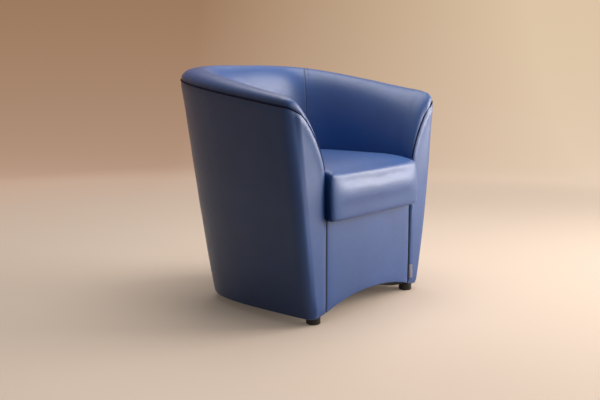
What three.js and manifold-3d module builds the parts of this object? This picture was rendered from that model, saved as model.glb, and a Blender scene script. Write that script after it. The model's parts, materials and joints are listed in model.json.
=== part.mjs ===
// Tub chair: a horseshoe of padded arms and back round a fixed seat, on four low feet.
// Millimetres, +Z up. X runs across the chair and the front faces -Y.
// The horseshoe is worked out as stations. Each station holds the wall's base, its rim and its inner foot,
// and every layer of the wall, from outer cover to inner cover, is measured from those three places.

import * as THREE from "three";
import Module from "manifold-3d";
import { mergeVertices } from "three/addons/utils/BufferGeometryUtils.js";

// Driving sizes
const seat_half_width = 214;
const seat_inner_depth = 410;        // front face to the foot of the inner back
const seat_overhang = 33;            // how far the seat comes out past the front face
const seat_underside = 283;
const arm_wall_at_base = 56;         // wall thickness outside the seat space, at the base
const back_wall_at_base = 59;
const arm_flare = 84;                // how much further out the rim is than the base
const back_rake = 63;
const foot_height = 22;
const rim_front_height = 594;
const rim_back_height = 665;
const base_squareness = 4.2;
const rim_squareness = 4.6;
const inner_squareness = 4.4;

// Shape of the padded wall
const crest_rise_front = 18;         // top of the padded roll above the piping, at the arm fronts
const crest_rise_back = 38;
const crest_inset_front = 22;        // crest of the roll, inwards of the piping, at the arm fronts
const crest_inset_back = 60;
const inner_foot_height = 420;       // below this the inner face drops straight down
const inner_foot_flare = 4;          // the inner face stands out by this at the arm front
const edge_roll = 55;                // depth of the rounded front edge of the inner padding
const roll_power_edge = 1.33;        // roundness of the inner face, at its front edge
const roll_power_front = 1.7;        // the same along the arm, behind the front edge
const roll_power_back = 2.0;
const outer_bulge = 10;
const outer_bulge_power = 0.5;
const bulge_row_shares = [0, 0.05, 0.2, 0.4, 0.6, 0.8, 0.93, 1];
const front_corner_radius = 34;
const front_corner_drop = 19;        // fall of the rim round the front corner
const front_tuck = 10;               // the base draws in by this towards the arm front
const front_tuck_length = 120;
const arm_front_lift = 6;            // the arm front's lower edge rises to meet the front panel

// Front panel
const panel_inset = 8;               // panel seam, inwards of the inner face
const arch_rise = 29;
const arch_end_height = 29;
const arch_power = 2.2;
const panel_board_thickness = 12;

// Layers and clearances
const gap = 0.4;                     // between pieces that lie against each other
const facet_gap = 0.8;               // between curved pieces whose facets differ
const seat_side_gap = 2;
const seam_turn = THREE.MathUtils.degToRad(0.05);  // a panel's edge is drawn back by this angle at a seam
const cover_thickness = 2;
const wadding_thickness = 5;
const tack_board_thickness = 3;
const lining_thickness = 3;
const piping_radius = 2.4;
const piping_front_share = 0.58;     // how far down the arm front line the piping runs

// Timber
const rail_width = 50;
const rail_thickness = 18;
const rail_below_rim = 14;
const base_ring_width = 74;
const ledge_width = 90;
const post_depth = 30;
const post_half_width = 20;
const post_bow_room = 2.2;           // room for a curved piece to pass the flat post
const side_post_angle = THREE.MathUtils.degToRad(22);
const rear_post_angle = THREE.MathUtils.degToRad(49);
const arm_board_thickness = 16.7;
const arm_board_cover_inset = 12;
const arm_board_side_inset = 15;
const arm_pad_inset = 5;
const front_rail_overlap = 1.2;      // a front rail reaches past the panel seam by this at each end
const front_rail_thickness = 18;
const top_front_rail_height = 42;
const lower_front_rail_height = 38;
const lower_front_rail_clearance = 4;  // above the arch

// Seat
const seat_top_radius = 13;
const seat_bottom_radius = 6;
const seat_side_draw = 3;            // drawn in at the seat's upper and lower edges
const seat_crown = 9;
const seat_edge_height = 430;
const seat_front_drop = 19;
const seat_front_drop_length = 115;
const seat_front_squareness = 12;
const seat_front_swell = 9;          // the seat spreads by this where it stands ahead of the arm fronts
const seat_swell_start = 6;          // distance ahead of the front face where the spread starts
const seat_swell_full = 26;
const seat_return = 17;              // cover turned under the seat board
const seat_board_thickness = 18;
const seat_board_width = 52;
const seat_side_shares = [0.3, 0.7];
const seat_top_shares = [0.84, 0.66, 0.4, 0];
const strap_width = 50;
const strap_thickness = 1.4;
const strap_weave = 1.1;
const long_strap_count = 4;
const cross_strap_count = 3;
const strap_pitch = 82;
const strap_landing = 30;
const strap_edge_distance = 10;      // from the seat board's edge to a strap's end
const strap_room = 6;                // from the board's top to the foam

// Feet, screws and small pieces
const foot_radius = 20;
const foot_edge_radius = 4;
const foot_setback = 25;
const foot_bore_depth = 8;
const front_foot_inset = 39;         // inwards of the base's side
const rear_foot_angle = THREE.MathUtils.degToRad(50);
const rear_foot_depth = 48;
const screw_radius = 3;
const screw_head_radius = 6;
const screw_head_height = 4;
const screw_grip = 15;               // length of screw in the timber
const screw_hole_clearance = 0.5;
const front_bolt_angle = THREE.MathUtils.degToRad(12);
const rear_bolt_angle = THREE.MathUtils.degToRad(38);
const bolt_inset = 24;
const dust_cover_thickness = 1.2;
const dust_cover_inset = 12;
const dust_across_shares = [-1, -0.7, -0.35, 0, 0.35, 0.7, 1];
const tag_width = 12;
const tag_height = 42;
const tag_thickness = 1.2;
const tag_base_height = 45;

// Mesh fineness
const wall_steps = 40;
const seam_step = 11;                // the wall step that holds the rear corner seam
const wall_crowding_share = 0.08;
const corner_steps = 6;
const inner_rows = 10;
const roll_rows = 4;                 // rows of the inner face that lie on the roll
const row_crowding_power = 1.35;
const strip_rows = [10, 7, 6, 5, 4, 3, 2, 1, 0];  // rows of the inner face that the arm front's stations meet
const curve_samples = 40;
const outline_skip = 4;              // a board's outline takes one curve sample in this many
const seat_steps = 36;
const seat_crowding_share = 0.15;
const seat_edge_steps = 3;
const arch_steps = 16;
const strap_steps = 20;
const foot_edge_steps = 3;
const foot_sides = 20;
const foot_cut_sides = 28;
const screw_sides = 12;
const piping_sides = 6;
const piping_front_steps = 14;
const corners_per_turn = 4;
const quarter_turn = Math.PI / 2;
const half_turn = Math.PI;
const full_turn = 2 * Math.PI;
const merge_distance = 1e-4;         // points closer than this are one point
const rounding_slack = 1e-9;

// Sizes that follow
const inner_half_width = seat_half_width + seat_side_gap;
const front_y = front_corner_radius;
const inner_reach = seat_inner_depth - front_y;
const base_half_width = inner_half_width + arm_wall_at_base;
const base_reach = inner_reach + back_wall_at_base;
const rim_half_width = base_half_width + arm_flare;
const rim_reach = base_reach + back_rake;
const rim_slope = (rim_back_height - rim_front_height) / rim_reach;
const front_foot_half_span = base_half_width - front_foot_inset;
const panel_half_width = inner_half_width - panel_inset;
const front_rail_half_length = panel_half_width + front_rail_overlap;
const piping_stand_off = piping_radius + gap;
const under_cover = cover_thickness + gap;
const tack_depth = under_cover + wadding_thickness + gap;
const rail_depth = tack_depth + tack_board_thickness + gap;
const post_start = rail_depth + post_bow_room;
const lining_depth = rail_depth + rail_width + gap;
const foam_depth = lining_depth + lining_thickness + facet_gap;
const ledge_top = seat_underside - gap;
const ledge_bottom = ledge_top - rail_thickness;
const ledge_depth = post_start + post_depth + post_bow_room;
const wall_bottom = foot_height + gap;
const base_ring_top = wall_bottom + rail_thickness;
const arm_board_y = front_y - gap - arm_board_thickness;
const panel_rail_y = under_cover + panel_board_thickness + gap;
const seat_rear_reach = inner_reach - seat_side_gap;
const seat_front_reach = front_y + seat_overhang;
const seat_board_bottom = seat_underside + under_cover;
const seat_board_top = seat_board_bottom + seat_board_thickness;
const seat_board_inset = cover_thickness + seat_bottom_radius + facet_gap;
const seat_centre = new THREE.Vector2(0, front_y + (seat_rear_reach - seat_front_reach) / 2);
const screw_top = wall_bottom + screw_grip;
const bolt_bottom = ledge_bottom - gap;
const bolt_top = seat_board_bottom + screw_grip;

const wasm = await Module();
wasm.setup();

// Materials

function finish(colour, roughness, metalness = 0) {
  return () => new THREE.MeshStandardMaterial({ color: colour, roughness, metalness });
}
const leatherette = finish(0x3c5690, 0.45);
const piping_leatherette = finish(0x1c2a52, 0.5);
const foam = finish(0xe8dcae, 0.95);
const wadding = finish(0xeeeeea, 0.95);
const fibreboard = finish(0x9a7650, 0.85);
const timber = finish(0xc8a572, 0.7);
const webbing = finish(0x2d2f33, 0.9);
const black_plastic = finish(0x141416, 0.5);
const steel = finish(0xb4b7bb, 0.35, 0.9);
const black_cloth = finish(0x1b1b1d, 0.95);
const woven_tag = finish(0xc4c4c6, 0.8);

const chair = new THREE.Group();

function add(name, geometry, material) {
  const mesh = new THREE.Mesh(geometry, material());
  mesh.name = name;
  chair.add(mesh);
}

// Solids

// Makes one merged closed geometry with its faces pointing out.
function closed_geometry(triangles) {
  const loose = new THREE.BufferGeometry();
  loose.setAttribute("position", new THREE.Float32BufferAttribute(triangles.flatMap((p) => p.toArray()), 3));
  const merged = mergeVertices(loose, merge_distance);
  const index = Array.from(merged.index.array);
  const kept = [];
  let volume = 0;
  const [a, b, c] = [new THREE.Vector3(), new THREE.Vector3(), new THREE.Vector3()];
  for (let t = 0; t < index.length; t += 3) {
    const [i, j, k] = index.slice(t, t + 3);
    if (i === j || j === k || i === k) continue;
    kept.push(i, j, k);
    a.fromBufferAttribute(merged.attributes.position, i);
    b.fromBufferAttribute(merged.attributes.position, j);
    c.fromBufferAttribute(merged.attributes.position, k);
    volume += a.dot(b.cross(c));
  }
  merged.setIndex(volume < 0 ? kept.reverse() : kept);
  return merged;
}

// Two triangles across four corners. The left half of the chair is split as the mirror of the right half.
function push_quad(triangles, p, q, r, s) {
  if (p.x + q.x < 0) triangles.push(p, q, s, q, r, s);
  else triangles.push(p, q, r, p, r, s);
}

// A solid between two matching grids of points, walled at its edges.
// A looped one joins its last column to its first.
function solid_between(front, back, looped = false) {
  const columns = front.length;
  const rows = front[0].length;
  const triangles = [];
  const quad = (...corners) => push_quad(triangles, ...corners);
  for (let i = 0; i < (looped ? columns : columns - 1); i++) {
    const next = (i + 1) % columns;
    for (let j = 0; j < rows - 1; j++) {
      quad(front[i][j], front[next][j], front[next][j + 1], front[i][j + 1]);
      quad(back[next][j + 1], back[next][j], back[i][j], back[i][j + 1]);
    }
    quad(front[i][0], back[i][0], back[next][0], front[next][0]);
    quad(front[i][rows - 1], front[next][rows - 1], back[next][rows - 1], back[i][rows - 1]);
  }
  if (!looped) {
    for (let j = 0; j < rows - 1; j++) {
      quad(front[0][j], front[0][j + 1], back[0][j + 1], back[0][j]);
      quad(front[columns - 1][j], back[columns - 1][j], back[columns - 1][j + 1], front[columns - 1][j + 1]);
    }
  }
  return closed_geometry(triangles);
}

// A solid through looped rings of points, closed at both ends to the middle of the end ring.
function solid_of_rings(rings) {
  const triangles = [];
  const count = rings[0].length;
  for (let r = 0; r < rings.length - 1; r++) {
    for (let i = 0; i < count; i++) {
      const next = (i + 1) % count;
      push_quad(triangles, rings[r][i], rings[r][next], rings[r + 1][next], rings[r + 1][i]);
    }
  }
  for (const [ring, turned] of [[rings[0], true], [rings[rings.length - 1], false]]) {
    const middle = ring.reduce((sum, p) => sum.add(p), new THREE.Vector3()).divideScalar(count);
    for (let i = 0; i < count; i++) {
      const next = (i + 1) % count;
      triangles.push(middle, ring[turned ? next : i], ring[turned ? i : next]);
    }
  }
  return closed_geometry(triangles);
}

function merged_solid(geometry) {
  const bare = geometry.index ? geometry.toNonIndexed() : geometry.clone();
  const position = bare.attributes.position;
  const triangles = [];
  for (let i = 0; i < position.count; i++) {
    triangles.push(new THREE.Vector3().fromBufferAttribute(position, i));
  }
  return closed_geometry(triangles);
}

// An outline of Vector2 in X and Z, made solid from y towards the back.
function plate_facing_front(outline, y, thickness) {
  const shape = new THREE.Shape(outline);
  const geometry = new THREE.ExtrudeGeometry(shape, { depth: thickness, bevelEnabled: false });
  geometry.rotateX(quarter_turn);
  geometry.translate(0, y + thickness, 0);
  return merged_solid(geometry);
}

// A profile of [radius, height] pairs turned about an upright axis at x and y.
function turned_solid(profile, sides, x, y) {
  const geometry = new THREE.LatheGeometry(profile.map(([r, z]) => new THREE.Vector2(r, z)), sides);
  geometry.rotateX(quarter_turn);
  geometry.translate(x, y, 0);
  return merged_solid(geometry);
}

function upright_cylinder(radius, bottom, top, x, y, sides) {
  return turned_solid([[0, bottom], [radius, bottom], [radius, top], [0, top]], sides, x, y);
}

function block(x0, x1, y0, y1, z0, z1) {
  const geometry = new THREE.BoxGeometry(x1 - x0, y1 - y0, z1 - z0);
  geometry.translate((x0 + x1) / 2, (y0 + y1) / 2, (z0 + z1) / 2);
  return merged_solid(geometry);
}

function to_manifold(geometry) {
  return new wasm.Manifold(new wasm.Mesh({
    numProp: 3,
    vertProperties: new Float32Array(geometry.attributes.position.array),
    triVerts: new Uint32Array(geometry.index.array),
  }));
}

function cut(geometry, tools) {
  let solid = to_manifold(geometry);
  for (const tool of tools) solid = solid.subtract(to_manifold(tool));
  const mesh = solid.getMesh();
  const result = new THREE.BufferGeometry();
  result.setAttribute("position", new THREE.BufferAttribute(mesh.vertProperties, 3));
  result.setIndex(new THREE.BufferAttribute(mesh.triVerts, 1));
  return result;
}

// Stations of the horseshoe

// A superellipse horseshoe in plan: angle 0 is the right arm front, a quarter turn the middle of the back.
function horseshoe(angle, half_width, reach, squareness) {
  const across = Math.cos(angle);
  const along = Math.sin(angle);
  const norm = (Math.abs(across) ** squareness + Math.abs(along) ** squareness) ** (-1 / squareness);
  return new THREE.Vector2(half_width * across * norm, front_y + reach * along * norm);
}

// An even angle moved towards the nearest rounded corner.
function crowded(even, share) {
  return even + share * Math.sin(corners_per_turn * even);
}

function rim_height(y) {
  return THREE.MathUtils.mapLinear(y, front_y, front_y + rim_reach, rim_front_height, rim_back_height);
}

// How much the base draws in at a given distance behind the front.
function tuck_at(y) {
  return front_tuck * Math.max(0, 1 - y / front_tuck_length) ** 2;
}

// How far the padded roll has grown from its size at the arm fronts to that at the back, from 0 to 1.
function growth_share(y) {
  return Math.sin(quarter_turn * Math.max(0, (y - front_y) / rim_reach));
}

// How far the inner padding has risen over its rounded front edge, from 0 to 1.
function edge_share(y) {
  const left = Math.max(0, 1 - y / edge_roll);
  return Math.sqrt(1 - left ** 2);
}

function wall_station(angle) {
  const rim = horseshoe(angle, rim_half_width, rim_reach, rim_squareness);
  const base = horseshoe(angle, base_half_width, base_reach, base_squareness);
  const foot = horseshoe(angle, inner_half_width, inner_reach, inner_squareness);
  base.x -= Math.sign(base.x) * tuck_at(base.y);
  const inward = new THREE.Vector3(foot.x - rim.x, foot.y - rim.y, 0).normalize();
  return {
    rim: new THREE.Vector3(rim.x, rim.y, rim_height(rim.y)),
    base: new THREE.Vector3(base.x, base.y, wall_bottom),
    inward,
    across: inward,
    bulge: 1,
    reach: foot.distanceTo(rim),
    edge: edge_share(rim.y),
    growth: growth_share(rim.y),
  };
}

// Stations round the front corner of an arm: turn 0 faces the front, a quarter turn the side.
function corner_station(side, turn) {
  const back_off = front_corner_radius * (1 - Math.sin(turn));
  const y = front_corner_radius * (1 - Math.cos(turn));
  const edge = edge_share(y);
  const rim_x = rim_half_width - back_off;
  const base_x = base_half_width - tuck_at(y) - back_off;
  const foot_x = inner_half_width + inner_foot_flare * (1 - edge);
  const rim_z = rim_height(front_y) - front_corner_drop * (1 - Math.sin(turn));
  return {
    rim: new THREE.Vector3(side * rim_x, y, rim_z),
    base: new THREE.Vector3(side * base_x, y, wall_bottom),
    inward: new THREE.Vector3(-side * Math.sin(turn), Math.cos(turn), 0),
    across: new THREE.Vector3(-side, 0, 0),
    bulge: Math.sin(turn),
    reach: rim_x - foot_x,
    edge,
    growth: 0,
  };
}

// Section of the inner face at a station: inward distance from the rim, and height.
function section_curve(station) {
  const { lerp } = THREE.MathUtils;
  const crest = lerp(crest_inset_front, crest_inset_back, station.growth) * station.edge;
  const rise = lerp(crest_rise_front, crest_rise_back, station.growth) * station.edge;
  const full_power = lerp(roll_power_front, roll_power_back, station.growth);
  const power = lerp(roll_power_edge, full_power, station.edge);
  const fall = station.rim.z + rise - inner_foot_height;
  const turns = Array.from({ length: curve_samples + 1 }, (_, i) => (quarter_turn * i) / curve_samples);
  const roll = turns.map((turn) => new THREE.Vector2(
    crest * (1 - Math.cos(turn)),
    station.rim.z + rise * Math.sin(turn),
  ));
  const face = turns.map((turn) => new THREE.Vector2(
    crest + (station.reach - crest) * Math.sin(turn) ** (2 / power),
    inner_foot_height + fall * Math.max(0, Math.cos(turn)) ** (2 / power),
  ));
  const points = [...roll, ...face, new THREE.Vector2(station.reach, seat_underside + gap)];
  return points.filter((p, i) => i === 0 || p.distanceTo(points[i - 1]) > merge_distance);
}

// A section moved into the wall by an inset.
function inset_section(curve, inset) {
  return curve.map((point, i) => {
    const before = curve[Math.max(0, i - 1)];
    const after = curve[Math.min(curve.length - 1, i + 1)];
    const along = after.clone().sub(before).normalize();
    const rise = i === curve.length - 1 ? 0 : -along.x * inset;
    return new THREE.Vector2(point.x + along.y * inset, point.y + rise);
  });
}

// A moved section without its start, where that folds back because the roll is tighter than the inset.
function unfolded(curve) {
  const nearest = Math.min(...curve.map((point) => point.x));
  return curve.slice(curve.findIndex((point) => point.x === nearest));
}

// The point at a share of a line's length.
function point_along(line, share) {
  const lengths = [0];
  for (let i = 1; i < line.length; i++) lengths.push(lengths[i - 1] + line[i].distanceTo(line[i - 1]));
  const wanted = share * lengths[lengths.length - 1];
  const k = Math.max(1, lengths.findIndex((length) => length >= wanted - rounding_slack));
  return line[k - 1].clone().lerp(line[k], (wanted - lengths[k - 1]) / (lengths[k] - lengths[k - 1]));
}

// How far down the inner face a row lies. The rows are closer together on the roll.
function row_share(row) {
  return (row / inner_rows) ** row_crowding_power;
}

// The inner face at a station, moved into the wall by an inset.
function inner_column(station, inset) {
  const moved = inset_section(section_curve(station), inset);
  return Array.from({ length: inner_rows + 1 }, (_, row) => {
    const point = point_along(moved, row_share(row));
    return new THREE.Vector3(station.rim.x, station.rim.y, point.y).addScaledVector(station.across, point.x);
  });
}

// A place in the wall at a height, at a depth inwards of the line from base to rim.
function place_at_height(station, z, depth) {
  const { base, waist, rim, inward } = station;
  const [low, high] = waist ? (z > waist.z ? [waist, rim] : [base, waist]) : [base, rim];
  return low.clone().lerp(high, (z - low.z) / (high.z - low.z)).addScaledVector(inward, depth);
}

// How far the padded outer face stands out at a share of the height. It is straight between the rows.
function bulge_at(station, share) {
  const next = Math.max(1, bulge_row_shares.findIndex((row) => row >= share));
  const [low, high] = [bulge_row_shares[next - 1], bulge_row_shares[next]];
  const full = (row) => Math.max(0, Math.sin(half_turn * row)) ** outer_bulge_power;
  return outer_bulge * station.bulge * THREE.MathUtils.mapLinear(share, low, high, full(low), full(high));
}

const wall_angles = Array.from({ length: wall_steps + 1 }, (_, i) =>
  crowded((half_turn * i) / wall_steps, wall_crowding_share));
const wall_stations = wall_angles.map(wall_station);
const panel_steps = {
  right: [0, seam_step],
  back: [seam_step, wall_steps - seam_step],
  left: [wall_steps - seam_step, wall_steps],
};
const sides = [["right", 1], ["left", -1]];

// Stations of one panel, its seam edges drawn back a little from the neighbouring panel's.
function panel_stations(panel) {
  const [first, last] = panel_steps[panel];
  const angles = wall_angles.slice(first, last + 1);
  if (first > 0) angles[0] += seam_turn;
  if (last < wall_steps) angles[angles.length - 1] -= seam_turn;
  return angles.map(wall_station);
}

// Stations round an arm's front corner, from the front face to the first wall station, which is left out.
function corner_stations(side) {
  const turns = Array.from({ length: corner_steps }, (_, i) => (quarter_turn * i) / corner_steps);
  return turns.map((turn) => corner_station(side, turn));
}

// The line down the arm front where the inner and outer covers meet, from the corner to the seat's underside.
function arm_front_line(side, inset) {
  const station = corner_station(side, 0);
  const curve = inset_section(section_curve(station), inset);
  return curve.map((p) => new THREE.Vector3(station.rim.x - side * p.x, 0, p.y));
}

// Stations across the arm front, from the panel seam to the corner. The first ends under the seat,
// and those past the seat's side bend at a waist level with its underside.
function strip_stations(side) {
  const line = arm_front_line(side, under_cover);
  const seam_x = panel_half_width + gap;
  const seam_top = new THREE.Vector3(side * seam_x, 0, seat_underside);
  const corner = corner_station(side, 0);
  const corner_waist = place_at_height(corner, seat_underside, 0);
  const tops = [seam_top, ...strip_rows.map((row) => point_along(line, row_share(row)))];
  const last = tops.length - 1;
  return tops.map((rim, i) => {
    const base_x = THREE.MathUtils.lerp(side * seam_x, corner.base.x, i / last);
    return {
      rim,
      waist: i > 1 ? tops[1].clone().lerp(corner_waist, (i - 1) / (last - 1)) : null,
      base: new THREE.Vector3(base_x, 0, wall_bottom + arm_front_lift * (1 - i / last)),
      inward: new THREE.Vector3(0, 1, 0),
      bulge: 0,
    };
  });
}

// Gives the stations of a panel and of the arm front before it, in order from one side to the other.
function covered_stations(panel, front_stations) {
  const wall = panel_stations(panel);
  if (panel === "back") return wall;
  return panel === "right" ? [...front_stations(1), ...wall] : [...wall, ...front_stations(-1).reverse()];
}
const outer_front = (side) => [...strip_stations(side), ...corner_stations(side).slice(1)];

// Outer and inner layers of the wall

// A straight-sided layer of the wall, such as a board, post or rail.
function wall_layer(stations, depth, thickness, bottom_at, top_at, rows = 1) {
  const face = (extra) => stations.map((station) => Array.from({ length: rows + 1 }, (_, row) => {
    const z = THREE.MathUtils.lerp(bottom_at(station), top_at(station), row / rows);
    return place_at_height(station, z, depth + extra);
  }));
  return solid_between(face(0), face(thickness));
}

// A padded layer of the wall: its outer face bulges, and its inner face does too or lies flat.
function padded_layer(stations, depth, thickness, bottom_at, top_at, flat_behind) {
  const face = (extra, bulge_kept) => stations.map((station) => {
    const height = station.rim.z - station.base.z;
    const [low, high] = [bottom_at, top_at].map((at) => (at(station) - station.base.z) / height);
    const shares = [low, ...bulge_row_shares.filter((row) => row > low && row < high), high];
    return shares.map((share) => place_at_height(station, station.base.z + share * height,
      depth + extra - bulge_kept * bulge_at(station, share)));
  });
  return solid_between(face(0, 1), face(thickness, flat_behind ? 0 : 1));
}

const at_base = (station) => station.base.z;
const under_rim = (station) => station.rim.z - gap;
const rail_top = (station) => station.rim.z - rail_below_rim;
const rail_bottom = (station) => rail_top(station) - rail_thickness;
const beside_seat = () => seat_underside + gap;

function outer_layers(panel, place) {
  const wall = panel_stations(panel);
  const covered = covered_stations(panel, outer_front);
  const cover = padded_layer(covered, 0, cover_thickness, at_base, under_rim, false);
  const fill = padded_layer(wall, under_cover, wadding_thickness, at_base, rail_top, true);
  const board = wall_layer(wall, tack_depth, tack_board_thickness, at_base, rail_top);
  add(`${place}_cover`, cover, leatherette);
  add(`${place}_wadding`, fill, wadding);
  add(`${place}_tack_board`, board, fibreboard);
}

// The foam's hidden side: over the top rail, with more room the steeper the rail, then straight down
// behind the lining.
function foam_rear_column(station) {
  const over_rail = rail_top(station) + facet_gap * (1 + rim_slope);
  return Array.from({ length: inner_rows + 1 }, (_, row) => {
    const roll_share = Math.min(1, row / roll_rows);
    const fall_share = Math.max(0, row - roll_rows) / (inner_rows - roll_rows);
    const z = THREE.MathUtils.lerp(over_rail, beside_seat(), fall_share);
    return place_at_height(station, z, THREE.MathUtils.lerp(tack_depth + gap, foam_depth, roll_share));
  });
}

function inner_layers(panel, place) {
  const wall = panel_stations(panel);
  const covered = covered_stations(panel, corner_stations);
  const [cover_face, cover_rear] = [0, cover_thickness].map((inset) =>
    covered.map((station) => inner_column(station, inset)));
  add(`${place}_cover`, solid_between(cover_face, cover_rear), leatherette);
  const foam_face = wall.map((station) => inner_column(station, under_cover));
  add(`${place}_foam`, solid_between(foam_face, wall.map(foam_rear_column)), foam);
  const lining_rows = (inner_rows - roll_rows) / 2;
  const lining = wall_layer(wall, lining_depth, lining_thickness, beside_seat, rail_top, lining_rows);
  add(`${place}_lining`, lining, fibreboard);
}

for (const [panel, place] of [["right", "right_arm"], ["back", "back"], ["left", "left_arm"]]) {
  outer_layers(panel, `outer_${place}`);
  inner_layers(panel, `inner_${place}`);
}

// Places of the feet and of the seat bolts

const rear_foot = place_at_height(wall_station(rear_foot_angle), wall_bottom, rear_foot_depth);
const foot_places = [["front", front_foot_half_span, foot_setback], ["rear", rear_foot.x, rear_foot.y]]
  .flatMap(([place, x, y]) => sides.map(([name, side]) => [`${place}_${name}`, side * x, y]));

// Plan of the seat at an angle: it follows the inner wall behind and is nearly square in front.
function seat_edge(angle, inset) {
  const behind = Math.sin(angle) >= 0;
  const reach = behind ? seat_rear_reach : seat_front_reach;
  const squareness = behind ? inner_squareness : seat_front_squareness;
  return horseshoe(angle, seat_half_width - inset, reach - inset, squareness);
}
const bolt_places = [["front", front_bolt_angle], ["rear", rear_bolt_angle]].flatMap(([place, angle]) => {
  const { x, y } = seat_edge(angle, bolt_inset);
  return sides.map(([name, side]) => [`${place}_${name}`, side * x, y]);
});

function screw_hole(x, y, bottom, top) {
  return upright_cylinder(screw_radius + screw_hole_clearance, bottom - gap, top + gap, x, y, screw_sides);
}
const foot_screw_holes = foot_places.map(([, x, y]) => screw_hole(x, y, foot_height, screw_top));
const bolt_holes = bolt_places.map(([, x, y]) => screw_hole(x, y, bolt_bottom, bolt_top));

// Timber frame

add("top_rail", wall_layer(wall_stations, rail_depth, rail_width, rail_bottom, rail_top), timber);
const base_ring = wall_layer(wall_stations, rail_depth, base_ring_width, at_base, () => base_ring_top);
add("base_ring", cut(base_ring, foot_screw_holes), timber);
const seat_ledge = wall_layer(wall_stations, ledge_depth, ledge_width, () => ledge_bottom, () => ledge_top);
add("seat_ledge", cut(seat_ledge, bolt_holes), timber);

// A flat post that leans with the wall, from the base ring to the top rail.
function post(side, middle) {
  const rim_at = (angle) => horseshoe(angle, rim_half_width, rim_reach, rim_squareness);
  const turn = post_half_width * (seam_turn / rim_at(middle + seam_turn).distanceTo(rim_at(middle)));
  const angles = [middle - turn, middle + turn].map((angle) => (side === 1 ? angle : half_turn - angle));
  return wall_layer(angles.map(wall_station), post_start, post_depth, () => base_ring_top + gap,
    (station) => rail_bottom(station) - gap);
}
for (const [name, side] of sides) {
  add(`side_post_${name}`, post(side, side_post_angle), timber);
  add(`rear_post_${name}`, post(side, rear_post_angle), timber);
}

// Arm fronts: a shaped board, and a pad between it and the cover

// Outline in X and Z under the section at a station, from the base up the inner edge and down the outer one.
function arm_outline(side, station, cover_inset, side_inset, bottom) {
  const inner_x = front_rail_half_length + gap;
  const outer_x = (z) => THREE.MathUtils.mapLinear(z, wall_bottom, rim_height(front_y),
    base_half_width - front_tuck, rim_half_width) - side_inset;
  const curve = unfolded(inset_section(section_curve(station), cover_inset));
  const top = curve
    .filter((_, i) => i % outline_skip === 0 || i === curve.length - 1)
    .map((p) => new THREE.Vector2(Math.abs(station.rim.x) - p.x, p.y))
    .filter((p) => p.x < outer_x(p.y))
    .reverse();
  const corner_z = top[top.length - 1].y;
  const points = [
    new THREE.Vector2(inner_x, bottom),
    new THREE.Vector2(inner_x, ledge_top),
    new THREE.Vector2(top[0].x, ledge_top),
    ...top,
    new THREE.Vector2(outer_x(corner_z), corner_z - gap),
    new THREE.Vector2(outer_x(bottom), bottom),
  ];
  return points.map((p) => new THREE.Vector2(side * p.x, p.y));
}

function arm_front(name, side) {
  const board_station = corner_station(side, Math.acos(1 - arm_board_y / front_corner_radius));
  const board_outline = arm_outline(side, board_station, arm_board_cover_inset, arm_board_side_inset,
    wall_bottom);
  const board = plate_facing_front(board_outline, arm_board_y, arm_board_thickness);
  add(`arm_front_board_${name}`, cut(board, foot_screw_holes), timber);
  const pad_outline = arm_outline(side, corner_station(side, 0), arm_pad_inset, front_corner_radius + gap,
    wall_bottom + arm_front_lift + gap);
  const pad_thickness = arm_board_y - gap - under_cover;
  add(`arm_front_pad_${name}`, plate_facing_front(pad_outline, under_cover, pad_thickness), foam);
}
for (const [name, side] of sides) arm_front(name, side);

// Front panel: arched cover and board, with a rail behind its top and its foot

function arched_panel(y, thickness, lift) {
  const arch = Array.from({ length: arch_steps + 1 }, (_, i) => {
    const across = 1 - (2 * i) / arch_steps;
    const z = arch_end_height + arch_rise * (1 - Math.abs(across) ** arch_power) + lift;
    return new THREE.Vector2(across * panel_half_width, z);
  });
  const top = [-panel_half_width, panel_half_width].map((x) => new THREE.Vector2(x, ledge_top));
  return plate_facing_front([...top, ...arch], y, thickness);
}
add("front_panel_cover", arched_panel(0, cover_thickness, 0), leatherette);
add("front_panel_board", arched_panel(under_cover, panel_board_thickness, cover_thickness), fibreboard);

function front_rail(bottom, top) {
  const half = front_rail_half_length;
  return block(-half, half, panel_rail_y, panel_rail_y + front_rail_thickness, bottom, top);
}
const lower_rail_z = arch_end_height + arch_rise + lower_front_rail_clearance;
add("front_top_rail", front_rail(ledge_top - top_front_rail_height, ledge_top), timber);
add("front_lower_rail", front_rail(lower_rail_z, lower_rail_z + lower_front_rail_height), timber);

// Seat

const seat_angles = Array.from({ length: seat_steps }, (_, i) =>
  crowded((full_turn * (i + 1 / 2)) / seat_steps, seat_crowding_share));

// Top of the seat at a place: a crown, and a soft fall to the front edge.
function seat_top(y, share, inset) {
  const fall = Math.max(0, 1 - (y + seat_overhang) / seat_front_drop_length) ** 2;
  return seat_edge_height + seat_crown * (1 - share ** 2) - seat_front_drop * fall - inset;
}

// Plan of the padded seat at an angle: the seat's own, spread sideways ahead of the arm fronts.
function padded_edge(angle, inset) {
  const p = seat_edge(angle, inset);
  const spread_share = THREE.MathUtils.smoothstep(-p.y, seat_swell_start, seat_swell_full);
  return new THREE.Vector2(p.x + Math.sign(p.x) * seat_front_swell * spread_share, p.y);
}

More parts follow.
